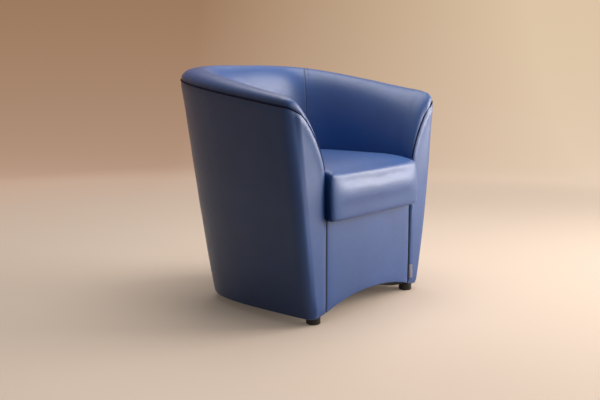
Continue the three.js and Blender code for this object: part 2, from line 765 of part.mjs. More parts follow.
// Rings of the seat from its underside, round its drawn-in side, to the crown.
function seat_rings(inset, bottom) {
  const ring = (ring_inset, height_at) => seat_angles.map((angle) => {
    const p = padded_edge(angle, ring_inset + inset);
    return new THREE.Vector3(p.x, p.y, height_at(p));
  });
  const top_at = (p) => seat_top(p.y, 1, inset) - seat_top_radius;
  const side_at = (p, share) => THREE.MathUtils.lerp(seat_underside + seat_bottom_radius, top_at(p), share);
  const side = seat_side_shares.map((share) => ring(0, (p) => side_at(p, share)));
  const edge = Array.from({ length: seat_edge_steps + 1 }, (_, i) => {
    const turn = (quarter_turn * i) / seat_edge_steps;
    const drawn = THREE.MathUtils.lerp(seat_side_draw, seat_top_radius, 1 - Math.cos(turn));
    return ring(drawn, (p) => top_at(p) + seat_top_radius * Math.sin(turn));
  });
  const crown = seat_top_shares.map((share) => seat_angles.map((angle) => {
    const p = seat_centre.clone().lerp(padded_edge(angle, seat_top_radius + inset), share);
    return new THREE.Vector3(p.x, p.y, seat_top(p.y, share, inset));
  }));
  return [
    ring(seat_bottom_radius, () => bottom),
    ring(seat_side_draw, () => bottom + seat_bottom_radius),
    ...side,
    ...edge,
    ...crown,
  ];
}

// One face of the seat cover, as columns from its turned-under edge to the middle of the crown.
function seat_cover_face(inset) {
  const rings = seat_rings(inset, seat_underside + inset);
  const turned_under = seat_angles.map((angle) => {
    const p = seat_edge(angle, seat_return);
    return new THREE.Vector3(p.x, p.y, seat_underside + inset);
  });
  return seat_angles.map((_, i) => [turned_under, ...rings].map((ring) => ring[i]));
}
add("seat_cover", solid_between(seat_cover_face(0), seat_cover_face(cover_thickness), true), leatherette);
add("seat_foam", solid_of_rings(seat_rings(under_cover, seat_board_top + strap_room).slice(0, -1)), foam);

// One side of the seat board, a frame that follows the seat's edge, as columns from its bottom to its top.
function seat_board_face(inset) {
  return seat_angles.map((angle) => {
    const edge = seat_edge(angle, seat_board_inset);
    const p = edge.clone().lerp(seat_centre, inset / edge.distanceTo(seat_centre));
    return [seat_board_bottom, seat_board_top].map((z) => new THREE.Vector3(p.x, p.y, z));
  });
}
const seat_board = solid_between(seat_board_face(0), seat_board_face(seat_board_width), true);
add("seat_board", cut(seat_board, bolt_holes), timber);

// Webbing: long straps run front to back and cross straps side to side, over and under in turn

const strap_inset = seat_board_inset + strap_edge_distance;
const strap_half_span = seat_half_width - strap_inset;
const strap_rear_reach = seat_rear_reach - strap_inset;
const strap_front_end = strap_inset - seat_overhang;
const strap_middle = (strap_front_end + front_y + strap_rear_reach) / 2;
const strap_level = seat_board_top + gap + strap_thickness / 2;
const weave_swing = strap_weave + strap_thickness / 2;
const spread = (count, i) => (i - (count - 1) / 2) * strap_pitch;

// Where the board's inner superellipse stands at a given distance from its middle line.
function reach_beside(across, half_width, reach) {
  return reach * (1 - (Math.abs(across) / half_width) ** inner_squareness) ** (1 / inner_squareness);
}

// A strap from start to end that rises off the board and weaves. It is at a peak where its phase is even.
function strap(start, end, width_way, phase_at) {
  const length = start.distanceTo(end);
  const faces = [[], []];
  for (let i = 0; i <= strap_steps; i++) {
    const place = start.clone().lerp(end, i / strap_steps);
    const from_end = Math.min(i, strap_steps - i) * (length / strap_steps);
    const raised = THREE.MathUtils.smoothstep(from_end, strap_landing / 2, strap_landing);
    place.z = strap_level + raised * weave_swing * (1 + Math.cos(half_turn * phase_at(place)));
    for (const [face, way] of [[faces[0], 1], [faces[1], -1]]) {
      const middle = place.clone().add(new THREE.Vector3(0, 0, (way * strap_thickness) / 2));
      face.push([-1, 1].map((edge) => middle.clone().addScaledVector(width_way, (edge * strap_width) / 2)));
    }
  }
  return solid_between(...faces);
}
for (let i = 0; i < long_strap_count; i++) {
  const x = spread(long_strap_count, i);
  const rear_end = front_y + reach_beside(Math.abs(x) + strap_width / 2, strap_half_span, strap_rear_reach);
  const phase_at = (p) => (p.y - strap_middle) / strap_pitch + (cross_strap_count - 1) / 2 + i;
  const [start, end] = [strap_front_end, rear_end].map((y) => new THREE.Vector3(x, y, 0));
  add(`long_webbing_${i + 1}`, strap(start, end, new THREE.Vector3(1, 0, 0), phase_at), webbing);
}
for (let i = 0; i < cross_strap_count; i++) {
  const y = strap_middle + spread(cross_strap_count, i);
  const end_x = reach_beside(y - front_y + strap_width / 2, strap_rear_reach, strap_half_span);
  const phase_at = (p) => p.x / strap_pitch + (long_strap_count - 1) / 2 + i + 1;
  const [start, end] = [-end_x, end_x].map((x) => new THREE.Vector3(x, y, 0));
  add(`cross_webbing_${i + 1}`, strap(start, end, new THREE.Vector3(0, 1, 0), phase_at), webbing);
}

// Screws: one form for the seat bolts and the foot screws, head down

function screw(x, y, head_bottom, top) {
  const head_top = head_bottom + screw_head_height;
  return turned_solid([
    [0, head_bottom], [screw_head_radius, head_bottom], [screw_head_radius, head_top],
    [screw_radius, head_top], [screw_radius, top - screw_radius], [0, top],
  ], screw_sides, x, y);
}
for (const [name, x, y] of bolt_places) {
  add(`seat_bolt_${name}`, screw(x, y, bolt_bottom - screw_head_height, bolt_top), steel);
}

// Feet: turned plastic with a rounded lower edge, bored from below for the screw

function foot(x, y) {
  const bore = screw_head_radius + screw_hole_clearance;
  const shank = screw_radius + screw_hole_clearance;
  const rounded_edge = Array.from({ length: foot_edge_steps + 1 }, (_, i) => {
    const turn = (quarter_turn * i) / foot_edge_steps;
    return [foot_radius - foot_edge_radius * (1 - Math.sin(turn)), foot_edge_radius * (1 - Math.cos(turn))];
  });
  return turned_solid([
    [shank, foot_bore_depth], [bore, foot_bore_depth], [bore, 0], ...rounded_edge,
    [foot_radius, foot_height], [shank, foot_height], [shank, foot_bore_depth],
  ], foot_sides, x, y);
}
for (const [name, x, y] of foot_places) {
  add(`foot_${name}`, foot(x, y), black_plastic);
  add(`foot_screw_${name}`, screw(x, y, foot_bore_depth - screw_head_height - gap, screw_top), steel);
}

// Dust cover: cloth under the base ring, drawn up to the lower front rail and cut round the feet

const dust_front_y = panel_rail_y + front_rail_thickness / 2;
const dust_lift = lower_rail_z - gap - foot_height;
const ring_inner_depth = rail_depth + base_ring_width + gap;
const dust_lift_half_width = base_half_width - front_tuck - ring_inner_depth;
const dust_lift_end = front_y + base_reach - ring_inner_depth;

function dust_point(x, y, drop) {
  const across = Math.max(0, 1 - (x / dust_lift_half_width) ** 2);
  const along = Math.max(0, THREE.MathUtils.mapLinear(y, dust_front_y, dust_lift_end, 1, 0)) ** 2;
  return new THREE.Vector3(x, y, foot_height - drop + dust_lift * across * along);
}

// Rows from side to side, from the front rail to the back. A row's outer columns lie under the ring.
function dust_face(drop) {
  const edges = wall_stations.slice(0, wall_steps / 2).map((station) =>
    place_at_height(station, wall_bottom, dust_cover_inset));
  edges.unshift(new THREE.Vector3(edges[0].x, dust_front_y, 0));
  return edges.map((edge) => {
    const inner = Math.min(edge.x, dust_lift_half_width);
    const xs = dust_across_shares.map((share) => share * inner);
    return [-edge.x, ...xs, edge.x].map((x) => dust_point(x, edge.y, drop));
  });
}
const foot_cuts = foot_places.map(([, x, y]) =>
  upright_cylinder(foot_radius + gap, 0, wall_bottom, x, y, foot_cut_sides));
add("dust_cover", cut(solid_between(dust_face(0), dust_face(dust_cover_thickness)), foot_cuts), black_cloth);

// Piping: one welt up the left arm front, round the rim and down the right arm front

function piping_path() {
  const front_run = (side) => {
    const line = arm_front_line(side, 0);
    const shares = Array.from({ length: piping_front_steps }, (_, i) => (i + 1) / piping_front_steps);
    return shares.map((share) => point_along(line, share * piping_front_share)
      .add(new THREE.Vector3(0, -piping_stand_off, 0)));
  };
  const round = [...corner_stations(1), ...wall_stations, ...corner_stations(-1).reverse()]
    .map((station) => station.rim.clone().addScaledVector(station.inward, -piping_stand_off));
  return [...front_run(1).reverse(), ...round, ...front_run(-1)];
}

// A tube along a chain of points, its section square to the way at each point.
function tube(path, radius, sides_round) {
  const rings = path.map((point, i) => {
    const before = path[Math.max(0, i - 1)];
    const after = path[Math.min(path.length - 1, i + 1)];
    const way = after.clone().sub(before).normalize();
    const towards = new THREE.Vector3(0, seat_inner_depth / 2, rim_front_height / 2).sub(point);
    const out = towards.addScaledVector(way, -towards.dot(way)).normalize().multiplyScalar(radius);
    const up = way.clone().cross(out);
    return Array.from({ length: sides_round }, (_, k) => {
      const turn = (full_turn * k) / sides_round;
      return point.clone().addScaledVector(out, Math.cos(turn)).addScaledVector(up, Math.sin(turn));
    });
  });
  return solid_of_rings(rings);
}
add("piping", tube(piping_path(), piping_radius, piping_sides), piping_leatherette);

// Blank woven tag, folded out of the seam at the right of the front panel
const tag_x = panel_half_width + gap;
const tag_top = tag_base_height + tag_height;
add("tag", block(tag_x, tag_x + tag_width, -gap - tag_thickness, -gap, tag_base_height, tag_top), woven_tag);

// The origin is on the floor, under the middle of the whole chair.
const whole = new THREE.Box3().setFromObject(chair);
chair.position.y = -(whole.min.y + whole.max.y) / 2;

export default chair;
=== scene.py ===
"""The looks of the tub chair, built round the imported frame.

Metres, +Z up, the chair faces -Y. Each sub-assembly is a class with its sizes as fields and methods that build its
meshes as whole arrays and dress them. The sizes are those of the CAD model, so every piece lies where its nodes are.
"""

import json
import logging
from dataclasses import dataclass, fields
from enum import Enum

import bmesh
import bpy
import numpy as np
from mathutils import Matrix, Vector

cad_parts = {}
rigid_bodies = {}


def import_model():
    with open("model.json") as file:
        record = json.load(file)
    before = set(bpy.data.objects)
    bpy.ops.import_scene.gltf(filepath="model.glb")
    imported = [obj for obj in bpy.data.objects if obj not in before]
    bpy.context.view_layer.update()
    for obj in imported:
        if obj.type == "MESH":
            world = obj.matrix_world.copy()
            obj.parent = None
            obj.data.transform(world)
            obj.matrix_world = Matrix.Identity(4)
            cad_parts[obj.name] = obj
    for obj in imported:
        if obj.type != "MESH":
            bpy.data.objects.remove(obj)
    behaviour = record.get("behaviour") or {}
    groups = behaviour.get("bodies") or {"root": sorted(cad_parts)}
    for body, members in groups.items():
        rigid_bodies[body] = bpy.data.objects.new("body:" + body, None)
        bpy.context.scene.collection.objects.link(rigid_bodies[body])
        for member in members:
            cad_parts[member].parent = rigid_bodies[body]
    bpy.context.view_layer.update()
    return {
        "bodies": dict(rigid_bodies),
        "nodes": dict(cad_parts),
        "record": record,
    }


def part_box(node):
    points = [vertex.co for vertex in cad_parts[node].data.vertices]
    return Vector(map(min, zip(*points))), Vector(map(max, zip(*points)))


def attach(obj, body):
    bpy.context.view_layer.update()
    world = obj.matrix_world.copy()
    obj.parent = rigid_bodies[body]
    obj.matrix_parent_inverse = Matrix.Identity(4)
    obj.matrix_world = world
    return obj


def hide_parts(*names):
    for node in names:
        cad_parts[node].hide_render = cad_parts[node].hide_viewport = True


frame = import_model()

Array = np.ndarray
Socket = bpy.types.NodeSocket
MM = 0.001
QUARTER_TURN = np.pi / 2
FULL_TURN = 2 * np.pi
BODY = next(iter(frame["bodies"]))
FRONT_FACE_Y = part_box("front_panel_cover")[0].y
MIRROR = np.array([-1, 1, 1])
NO_SEAM = 1.0
log = logging.getLogger("tub_chair")


class Side(Enum):
    """The two sides of the chair, with the sign of X on each."""

    RIGHT = 1
    LEFT = -1

    @property
    def word(self) -> str:
        """The side's name in node names."""
        return self.name.lower()


# Arrays


def unit(vectors: Array) -> Array:
    """Gives each vector the length 1."""
    return vectors / np.maximum(np.linalg.norm(vectors, axis=-1, keepdims=True), 1e-12)


def smooth(share: Array) -> Array:
    """Rises from 0 to 1 with no corner at either end: three times the square less twice the cube."""
    share = np.clip(share, 0, 1)
    return share * share * (3 - 2 * share)


def quarter_round(share: Array) -> Array:
    """Rises from 0 to 1 as a quarter circle does, and stays at 1."""
    return np.sqrt(1 - (1 - np.clip(share, 0, 1)) ** 2)


def between(ends: tuple[float | Array, float | Array], share: Array) -> Array:
    """The value a share of the way from one end to the other."""
    return ends[0] + (ends[1] - ends[0]) * share


def path_lengths(points: Array) -> Array:
    """Gives the length walked at each point of each path.

    Args:
        points: Paths of points, (..., count, axes).

    Returns:
        Lengths, (..., count), from 0.
    """
    steps = np.linalg.norm(np.diff(points, axis=-2), axis=-1)
    return np.concatenate([np.zeros_like(steps[..., :1]), np.cumsum(steps, axis=-1)], axis=-1)


def walked_to(curves: Array, wanted: Array) -> Array:
    """Finds the points at wanted lengths along each curve.

    Each wanted length is compared with all the walked lengths of its curve, and the point lies on the straight step
    between the two that it falls between.

    Args:
        curves: Curves of points, (curves, samples, axes).
        wanted: Lengths, (curves, count).

    Returns:
        Points, (curves, count, axes).
    """
    walked = path_lengths(curves)
    after = np.clip((walked[:, None, :] < wanted[:, :, None]).sum(-1), 1, curves.shape[1] - 1)
    low = np.take_along_axis(walked, after - 1, 1)
    high = np.take_along_axis(walked, after, 1)
    part = (wanted - low) / np.maximum(high - low, 1e-12)
    start = np.take_along_axis(curves, (after - 1)[..., None], 1)
    end = np.take_along_axis(curves, after[..., None], 1)
    return start + (end - start) * part[..., None]


def resampled(curves: Array, shares: Array) -> Array:
    """Finds the points at shares of each curve's own length, (curves, count, axes)."""
    return walked_to(curves, shares[None, :] * path_lengths(curves)[:, -1:])


def walked_along(grid: Array) -> Array:
    """Gives the length walked from the first column at each point of a grid."""
    return path_lengths(np.moveaxis(grid, 0, 1)).T


def walked_back(grid: Array) -> Array:
    """Gives the length walked from the last row at each point of a grid."""
    return path_lengths(grid[:, ::-1])[:, ::-1]


def in_place(points: Array) -> Array:
    """Moves points whose front face is at y = 0 to the chair's front face."""
    return points + np.array([0, FRONT_FACE_Y, 0])


def superellipse(angle: Array, half_width: Array | float, reach: Array | float,
                 squareness: Array | float) -> tuple[Array, Array]:
    """A superellipse: the sizes times the cosine and sine, over the root of the sum of their powers.

    Args:
        angle: Angles of the points.
        half_width: Size across.
        reach: Size along.
        squareness: The power.

    Returns:
        Places across and along.
    """
    across, along = np.cos(angle), np.sin(angle)
    norm = (np.abs(across) ** squareness + np.abs(along) ** squareness) ** (-1 / squareness)
    return half_width * across * norm, reach * along * norm


def hump(distance: Array, width: float) -> Array:
    """Falls from 1 to nothing on both sides of 0: the bell curve of the distance over the width."""
    return np.exp(-((distance / width) ** 2))


def grid_normals(grid: Array) -> Array:
    """Unit normals of a grid of points: the cross product of its steps along the columns and along the rows."""
    along = np.gradient(grid, axis=0)
    down = np.gradient(grid, axis=1)
    return unit(np.cross(along, down))


def ripple(places: Array, wave_lengths: tuple[float, ...], seed: int) -> Array:
    """An uneven wave: sines of several lengths, with phases from the seed, added and scaled to stay within 1.

    Args:
        places: Distances along the wave, in metres.
        wave_lengths: Length of each sine, in metres.
        seed: Chooses the phases.

    Returns:
        Heights from -1 to 1, shaped as places.
    """
    phases = np.random.default_rng(seed).uniform(0, FULL_TURN, len(wave_lengths))
    waves = [np.sin(FULL_TURN * places / length + phase) for length, phase in zip(wave_lengths, phases)]
    return sum(waves) / len(wave_lengths)


def soft_swell(points: Array, height: float, pitch: float, seed: int) -> Array:
    """Slow swells over a padded face: three sines along slanting directions, which the seed turns, multiplied in pairs.

    Args:
        points: Points in space, (..., 3).
        height: Greatest height of a swell.
        pitch: Distance from swell to swell.
        seed: Chooses the directions and phases.

    Returns:
        Heights, (...).
    """
    random = np.random.default_rng(seed)
    ways = unit(random.normal(size=(3, 3)))
    phases = random.uniform(0, FULL_TURN, 3)
    a, b, c = np.moveaxis(np.sin(FULL_TURN * (points @ ways.T) / pitch + phases), -1, 0)
    return height * (a * b + b * c + c * a) / 3


# Meshes


@dataclass
class Surface:
    """A mesh as arrays: points, four-sided faces and, where it has seams, each point's distance from the nearest."""

    points: Array
    faces: Array
    from_seam: Array | None = None

    def mesh(self, name: str, material: bpy.types.Material, sharp_degrees: float = 55) -> bpy.types.Object:
        """Makes the object, smooth but where its faces meet sharply.

        Args:
            name: Name of the piece.
            material: Its finish.
            sharp_degrees: Faces that meet at more than this keep their edge.

        Returns:
            The new object, linked to the scene.
        """
        data = bpy.data.meshes.new(name)
        corners = self.faces.reshape(-1).astype(np.int32)
        data.vertices.add(len(self.points))
        data.vertices.foreach_set("co", self.points.astype(np.float32).reshape(-1))
        data.loops.add(len(corners))
        data.loops.foreach_set("vertex_index", corners)
        data.polygons.add(len(self.faces))
        data.polygons.foreach_set("loop_start", np.arange(0, len(corners), 4, dtype=np.int32))
        data.polygons.foreach_set("use_smooth", np.ones(len(self.faces), dtype=bool))
        distances = np.full(len(self.points), NO_SEAM) if self.from_seam is None else self.from_seam
        seam = data.attributes.new("from_seam", "FLOAT", "POINT")
        seam.data.foreach_set("value", distances.astype(np.float32))
        data.update(calc_edges=True)
        data.validate()
        data.set_sharp_from_angle(angle=np.radians(sharp_degrees))
        data.materials.append(material)
        piece = bpy.data.objects.new(name, data)
        bpy.context.scene.collection.objects.link(piece)
        return piece


def grid_faces(columns: int, rows: int, looped: bool = False) -> Array:
    """Faces of a grid whose point at column c and row r has the index c * rows + r.

    Args:
        columns: Count of columns.
        rows: Count of rows.
        looped: Joins the last column to the first.

    Returns:
        Four indices a face, (faces, 4).
    """
    column = np.arange(columns if looped else columns - 1)[:, None]
    row = np.arange(rows - 1)[None, :]
    following = (column + 1) % columns
    corners = [column * rows + row, following * rows + row, following * rows + row + 1, column * rows + row + 1]
    return np.stack(corners, axis=-1).reshape(-1, 4)


def ring_faces(rings: int, sides: int) -> Array:
    """Faces of rings whose point k of ring r has the index r * sides + k."""
    faces = grid_faces(sides, rings, looped=True)
    return (faces % rings) * sides + faces // rings


def shell(front: Array, rear: Array, from_seam: Array | None = None) -> Surface:
    """A closed solid between two matching grids: both faces, and a strip of faces round the edges.

    Args:
        front: The face that shows, (columns, rows, 3), whose normals point outwards.
        rear: The hidden face, shaped as front.
        from_seam: Distance of each front point from the nearest seam, (columns, rows).

    Returns:
        The solid.
    """
    columns, rows = front.shape[:2]
    count = columns * rows
    faces = grid_faces(columns, rows)
    index = np.arange(count).reshape(columns, rows)
    rim = np.concatenate([index[:-1, 0], index[-1, :-1], index[:0:-1, -1], index[0, :0:-1]])
    following = np.roll(rim, -1)
    walls = np.stack([following, rim, rim + count, following + count], axis=-1)
    return Surface(
        np.concatenate([front.reshape(-1, 3), rear.reshape(-1, 3)]),
        np.concatenate([faces, faces[:, ::-1] + count, walls]),
        None if from_seam is None else np.tile(from_seam.reshape(-1), 2),
    )


def turns_about(first: Array, second: Array, sides: int) -> Array:
    """Ways round a full turn: one axis by the cosine and the other by the sine, (count, sides, 3)."""
    turn = FULL_TURN * np.arange(sides) / sides
    return first[:, None] * np.cos(turn)[None, :, None] + second[:, None] * np.sin(turn)[None, :, None]


def tube(path: Array, radius: float, sides: int, towards: Array) -> Surface:
    """A round tube along a path, closed by a point at each end.

    Each ring lies square to the way of the path. Its first axis points to one fixed place, less the part along the
    way, and its second is the cross product of the way and the first.

    Args:
        path: Points of the centre line, (count, 3).
        radius: Radius of the tube.
        sides: Points of a ring.
        towards: The place that the rings' first axes point to.

    Returns:
        The tube.
    """
    way = unit(np.gradient(path, axis=0))
    first = towards - path
    first = unit(first - way * (first * way).sum(-1, keepdims=True))
    shrink = np.ones(len(path))
    shrink[[0, -1]] = 0.02
    points = path[:, None] + turns_about(first, np.cross(way, first), sides) * (radius * shrink)[:, None, None]
    return Surface(points.reshape(-1, 3), ring_faces(len(path), sides))


def turned(profile: Array, centre: tuple[float, float], sides: int) -> Surface:
    """A profile turned about an upright axis. A profile that begins and ends on the axis gives a closed solid.

    Args:
        profile: Radius and height of each point, from the bottom up on the outside, (count, 2).
        centre: X and Y of the axis.
        sides: Steps of the turn.

    Returns:
        The turned solid.
    """
    turn = FULL_TURN * np.arange(sides) / sides
    around = np.stack([np.cos(turn), np.sin(turn)], axis=-1)
    level = profile[:, 0][None, :, None] * around[:, None, :] + np.array(centre)
    height = np.broadcast_to(profile[:, 1][None, :, None], (sides, len(profile), 1))
    points = np.concatenate([level, height], axis=-1).reshape(-1, 3)
    return Surface(points, grid_faces(sides, len(profile), looped=True))


def merged(piece: bpy.types.Object, distance: float = 1e-6) -> bpy.types.Object:
    """Merges points that lie on each other, as at a pole.

    Args:
        piece: The object to change.
        distance: Points closer than this are one.

    Returns:
        The same object.
    """
    work = bmesh.new()
    work.from_mesh(piece.data)
    bmesh.ops.remove_doubles(work, verts=work.verts, dist=distance)
    bmesh.ops.dissolve_degenerate(work, edges=work.edges, dist=distance)
    work.to_mesh(piece.data)
    work.free()
    return piece


def place(piece: bpy.types.Object, slot: str, *nodes: str, fill: float | None = None) -> bpy.types.Object:
    """Puts a finished piece on the chair's body.

    Args:
        piece: The object.
        slot: The record's material slot that the piece belongs to; not used.
        *nodes: CAD nodes that it stands for.
        fill: How full the padding is, where the piece is padded; not used.

    Returns:
        The same object.
    """
    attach(piece, BODY)
    if nodes:
        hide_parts(*nodes)
    log.info("%s: %d faces", piece.name, len(piece.data.polygons))
    return piece


# Finishes


class Graph:
    """The nodes of a material or a world, with short ways to add them."""

    def __init__(self, owner: bpy.types.Material | bpy.types.World, shader: str = "Principled BSDF") -> None:
        """Turns the owner's nodes on and finds its shader."""
        owner.use_nodes = True
        self.owner = owner
        self.tree = owner.node_tree
        self.shader = self.tree.nodes[shader]

    def wire(self, node: bpy.types.Node, inputs: dict[str | int, object]) -> bpy.types.Node:
        """Sets a node's inputs: a socket is linked and anything else is a value."""
        for key, value in inputs.items():
            if isinstance(value, Socket):
                self.tree.links.new(value, node.inputs[key])
            else:
                node.inputs[key].default_value = value
        return node

    def add(self, kind: str, inputs: dict[str | int, object] | None = None, **settings: object) -> bpy.types.Node:
        """Adds a node of a kind, with its settings and inputs."""
        node = self.tree.nodes.new("ShaderNode" + kind)
        for key, value in settings.items():
            setattr(node, key, value)
        return self.wire(node, inputs or {})

    def place(self) -> Socket:
        """The place on the object, in metres."""
        return self.add("TexCoord").outputs["Object"]

    def noise(self, scale: float, detail: float = 2.0, roughness: float = 0.5, at: Socket | None = None) -> Socket:
        """Noise of a scale, from 0 to 1."""
        inputs = {"Vector": at or self.place(), "Scale": scale, "Detail": detail, "Roughness": roughness}
        return self.add("TexNoise", inputs).outputs["Fac"]

    def stretched(self, scale: tuple[float, float, float]) -> Socket:
        """The place on the object, stretched along its axes."""
        return self.add("Mapping", {"Vector": self.place(), "Scale": scale}).outputs["Vector"]

    def mapped(self, value: Socket, low: float, high: float, to_low: float = 0.0, to_high: float = 1.0) -> Socket:
        """A value carried from one range to another."""
        inputs = {"Value": value, "From Min": low, "From Max": high, "To Min": to_low, "To Max": to_high}
        return self.add("MapRange", inputs).outputs["Result"]

    def spread(self, noise: Socket, to_low: float = 0.0, to_high: float = 1.0) -> Socket:
        """The middle part of a noise, where nearly all of it lies, carried to a whole range."""
        return self.mapped(noise, 0.3, 0.7, to_low, to_high)

    def maths(self, operation: str, first: Socket, second: Socket) -> Socket:
        """Two values joined by an operation."""
        return self.add("Math", {0: first, 1: second}, operation=operation).outputs[0]

    def blended(self, share: Socket, first: tuple | Socket, second: tuple | Socket) -> Socket:
        """A colour between two, by a share. A tuple is a display colour from 0 to 255."""
        node = self.add("Mix", data_type="RGBA")
        ends = (end if isinstance(end, Socket) else linear(*end) for end in (first, second))
        return self.wire(node, {0: share, **dict(zip((6, 7), ends))}).outputs[2]

    def bump(self, height: Socket, strength: float, distance: float, under: Socket | None = None) -> Socket:
        """A normal from a height, on top of another one."""
        inputs = {"Height": height, "Strength": strength, "Distance": distance}
        if under is not None:
            inputs["Normal"] = under
        return self.add("Bump", inputs).outputs["Normal"]

    def seen(self) -> Socket:
        """1 for rays of the camera, of reflections and through glass, and 0 for those that carry the light."""
        ray = self.add("LightPath").outputs
        seen = self.maths("MAXIMUM", ray["Is Camera Ray"], ray["Is Glossy Ray"])
        return self.maths("MAXIMUM", seen, ray["Is Transmission Ray"])


def linear(red: int, green: int, blue: int) -> tuple[float, float, float, float]:
    """A display colour from 0 to 255 as the linear colour that shaders take."""
    display = np.array([red, green, blue]) / 255
    light = np.where(display <= 0.04045, display / 12.92, ((display + 0.055) / 1.055) ** 2.4)
    return (*light.tolist(), 1.0)


@dataclass(frozen=True)
class Leatherette:
    """Smooth coated cloth with a fine pebbled grain, a satin gloss and a slightly uneven colour."""

    name: str
    colour: tuple[int, int, int]
    worn_colour: tuple[int, int, int]
    # The colour of the painted shade in the seams.
    seam_colour: tuple[int, int, int]
    roughness: float = 0.42
    coat: float = 0.55
    specular: float = 0.5
    grain_scale: float = 620.0
    grain_depth: float = 0.1 * MM
    crease_scale: float = 130.0
    crease_depth: float = 0.15 * MM
    wave_scale: float = 24.0
    wave_depth: float = 0.6 * MM
    cloud_scale: float = 7.0
    mottle_scale: float = 60.0
    coat_roughness: float = 0.45
    seam_range: tuple[float, float] = (0.5 * MM, 2.4 * MM)
    seam_share: float = 0.85

    def material(self) -> bpy.types.Material:
        """Builds the material: grain and creases as bump, wear as colour, and painted shade that darkens the seams."""
        g = Graph(bpy.data.materials.new(self.name))
        at = g.place()
        seam = g.add("Attribute", attribute_name="from_seam").outputs["Fac"]
        colour = g.blended(g.mapped(g.noise(self.cloud_scale, 3, 0.55, at), 0.35, 0.65), self.colour, self.worn_colour)
        # Painted shade: near a seam the colour turns to the seam shade colour, which stands in for the shade in the
        # seam grooves and gaps.
        colour = g.blended(g.mapped(seam, *self.seam_range, self.seam_share, 0.0), colour, self.seam_colour)
        grain = g.add("TexVoronoi", {"Vector": at, "Scale": self.grain_scale}, feature="F1").outputs["Distance"]
        normal = g.bump(g.noise(self.wave_scale, 3, 0.5, at), 0.35, self.wave_depth)
        normal = g.bump(g.noise(self.crease_scale, 5, 0.62, at), 0.3, self.crease_depth, normal)
        normal = g.bump(grain, 0.35, self.grain_depth, normal)
        mottle = g.noise(self.mottle_scale, 4, 0.6, at)
        roughness = g.spread(mottle, self.roughness - 0.05, self.roughness + 0.06)
        g.wire(g.shader, {"Base Color": colour, "Roughness": roughness, "Normal": normal, "Coat Weight": self.coat,
                          "Coat Roughness": self.coat_roughness, "IOR": 1.45, "Specular IOR Level": self.specular})
        return g.owner


@dataclass(frozen=True)
class Grained:
    """Timber or fibreboard: rings or fibres stretched along one axis."""

    name: str
    light_colour: tuple[int, int, int]
    dark_colour: tuple[int, int, int]
    stretch: tuple[float, float, float]
    scale: float
    roughness: float

    def material(self) -> bpy.types.Material:
        """Builds the material from stretched noise, for colour, roughness and bump."""
        g = Graph(bpy.data.materials.new(self.name))
        fibre = g.noise(self.scale, 6, 0.6, g.stretched(self.stretch))
        g.wire(g.shader, {"Base Color": g.blended(g.spread(fibre), self.dark_colour, self.light_colour),
                          "Roughness": g.spread(fibre, self.roughness + 0.08, self.roughness - 0.05),
                          "Normal": g.bump(fibre, 0.4, 0.3 * MM)})
        return g.owner


@dataclass(frozen=True)
class Fibrous:
    """Foam, wadding or pressed cloth: fine cells or fibres, matt."""

    name: str
    colour: tuple[int, int, int]
    shade: tuple[int, int, int]
    cell_scale: float
    roughness: float = 0.95
    depth: float = 0.3 * MM

    def material(self) -> bpy.types.Material:
        """Builds the material from cells and noise."""
        g = Graph(bpy.data.materials.new(self.name))
        at = g.place()
        cells = g.add("TexVoronoi", {"Vector": at, "Scale": self.cell_scale}).outputs["Distance"]
        cloud = g.noise(self.cell_scale / 12, 4, 0.6, at)
        g.wire(g.shader, {"Base Color": g.blended(g.spread(cloud), self.shade, self.colour),
                          "Roughness": g.mapped(cells, 0, 0.6, self.roughness - 0.1, self.roughness),
                          "Normal": g.bump(cells, 0.5, self.depth, g.bump(cloud, 0.3, self.depth)),
                          "Sheen Weight": 0.2})
        return g.owner


@dataclass(frozen=True)
class Woven:
    """Tape, webbing or thread: a plain weave along two axes of the piece."""

    name: str
    colour: tuple[int, int, int]
    stripe: tuple[int, int, int]
    threads: float
    axes: tuple[str, str] = ("X", "Y")
    roughness: float = 0.8

    def material(self) -> bpy.types.Material:
        """Builds the material from two crossed waves."""
        g = Graph(bpy.data.materials.new(self.name))
        wave = {"Vector": g.place(), "Scale": self.threads, "Distortion": 0.2}
        waves = [g.add("TexWave", wave, bands_direction=axis).outputs["Fac"] for axis in self.axes]
        weave = g.maths("MULTIPLY", *waves)
        g.wire(g.shader, {"Base Color": g.blended(g.mapped(weave, 0, 1), self.stripe, self.colour),
                          "Roughness": g.mapped(weave, 0, 1, self.roughness + 0.1, self.roughness),
                          "Normal": g.bump(weave, 0.6, 0.2 * MM), "Sheen Weight": 0.15})
        return g.owner


@dataclass(frozen=True)
class Moulded:
    """Moulded plastic with a fine spark texture and scuffs."""

    name: str
    colour: tuple[int, int, int]
    scuff: tuple[int, int, int]
    roughness: float = 0.45

    def material(self) -> bpy.types.Material:
        """Builds the material: speckle as bump, scuffs as colour and roughness."""
        g = Graph(bpy.data.materials.new(self.name))
        at = g.place()
        scuffs = g.mapped(g.noise(90, 6, 0.7, at), 0.58, 0.75)
        g.wire(g.shader, {"Base Color": g.blended(scuffs, self.colour, self.scuff),
                          "Roughness": g.mapped(scuffs, 0, 1, self.roughness, self.roughness + 0.2),
                          "Normal": g.bump(g.noise(1500, 2, 0.5, at), 0.25, 0.05 * MM)})
        return g.owner


@dataclass(frozen=True)
class PlatedSteel:
    """Zinc-plated steel with fine brushing."""

    name: str = "zinc_plated_steel"
    colour: tuple[int, int, int] = (176, 180, 186)
    bright_colour: tuple[int, int, int] = (206, 208, 210)

    def material(self) -> bpy.types.Material:
        """Builds the material: a metal whose roughness and bump follow stretched noise."""
        g = Graph(bpy.data.materials.new(self.name))
        brush = g.noise(400, 3, 0.6, g.stretched((1, 1, 12)))
        g.wire(g.shader, {"Base Color": g.blended(g.spread(brush), self.colour, self.bright_colour), "Metallic": 1.0,
                          "Roughness": g.spread(brush, 0.28, 0.42), "Normal": g.bump(brush, 0.2, 0.05 * MM)})
        return g.owner


# Studio


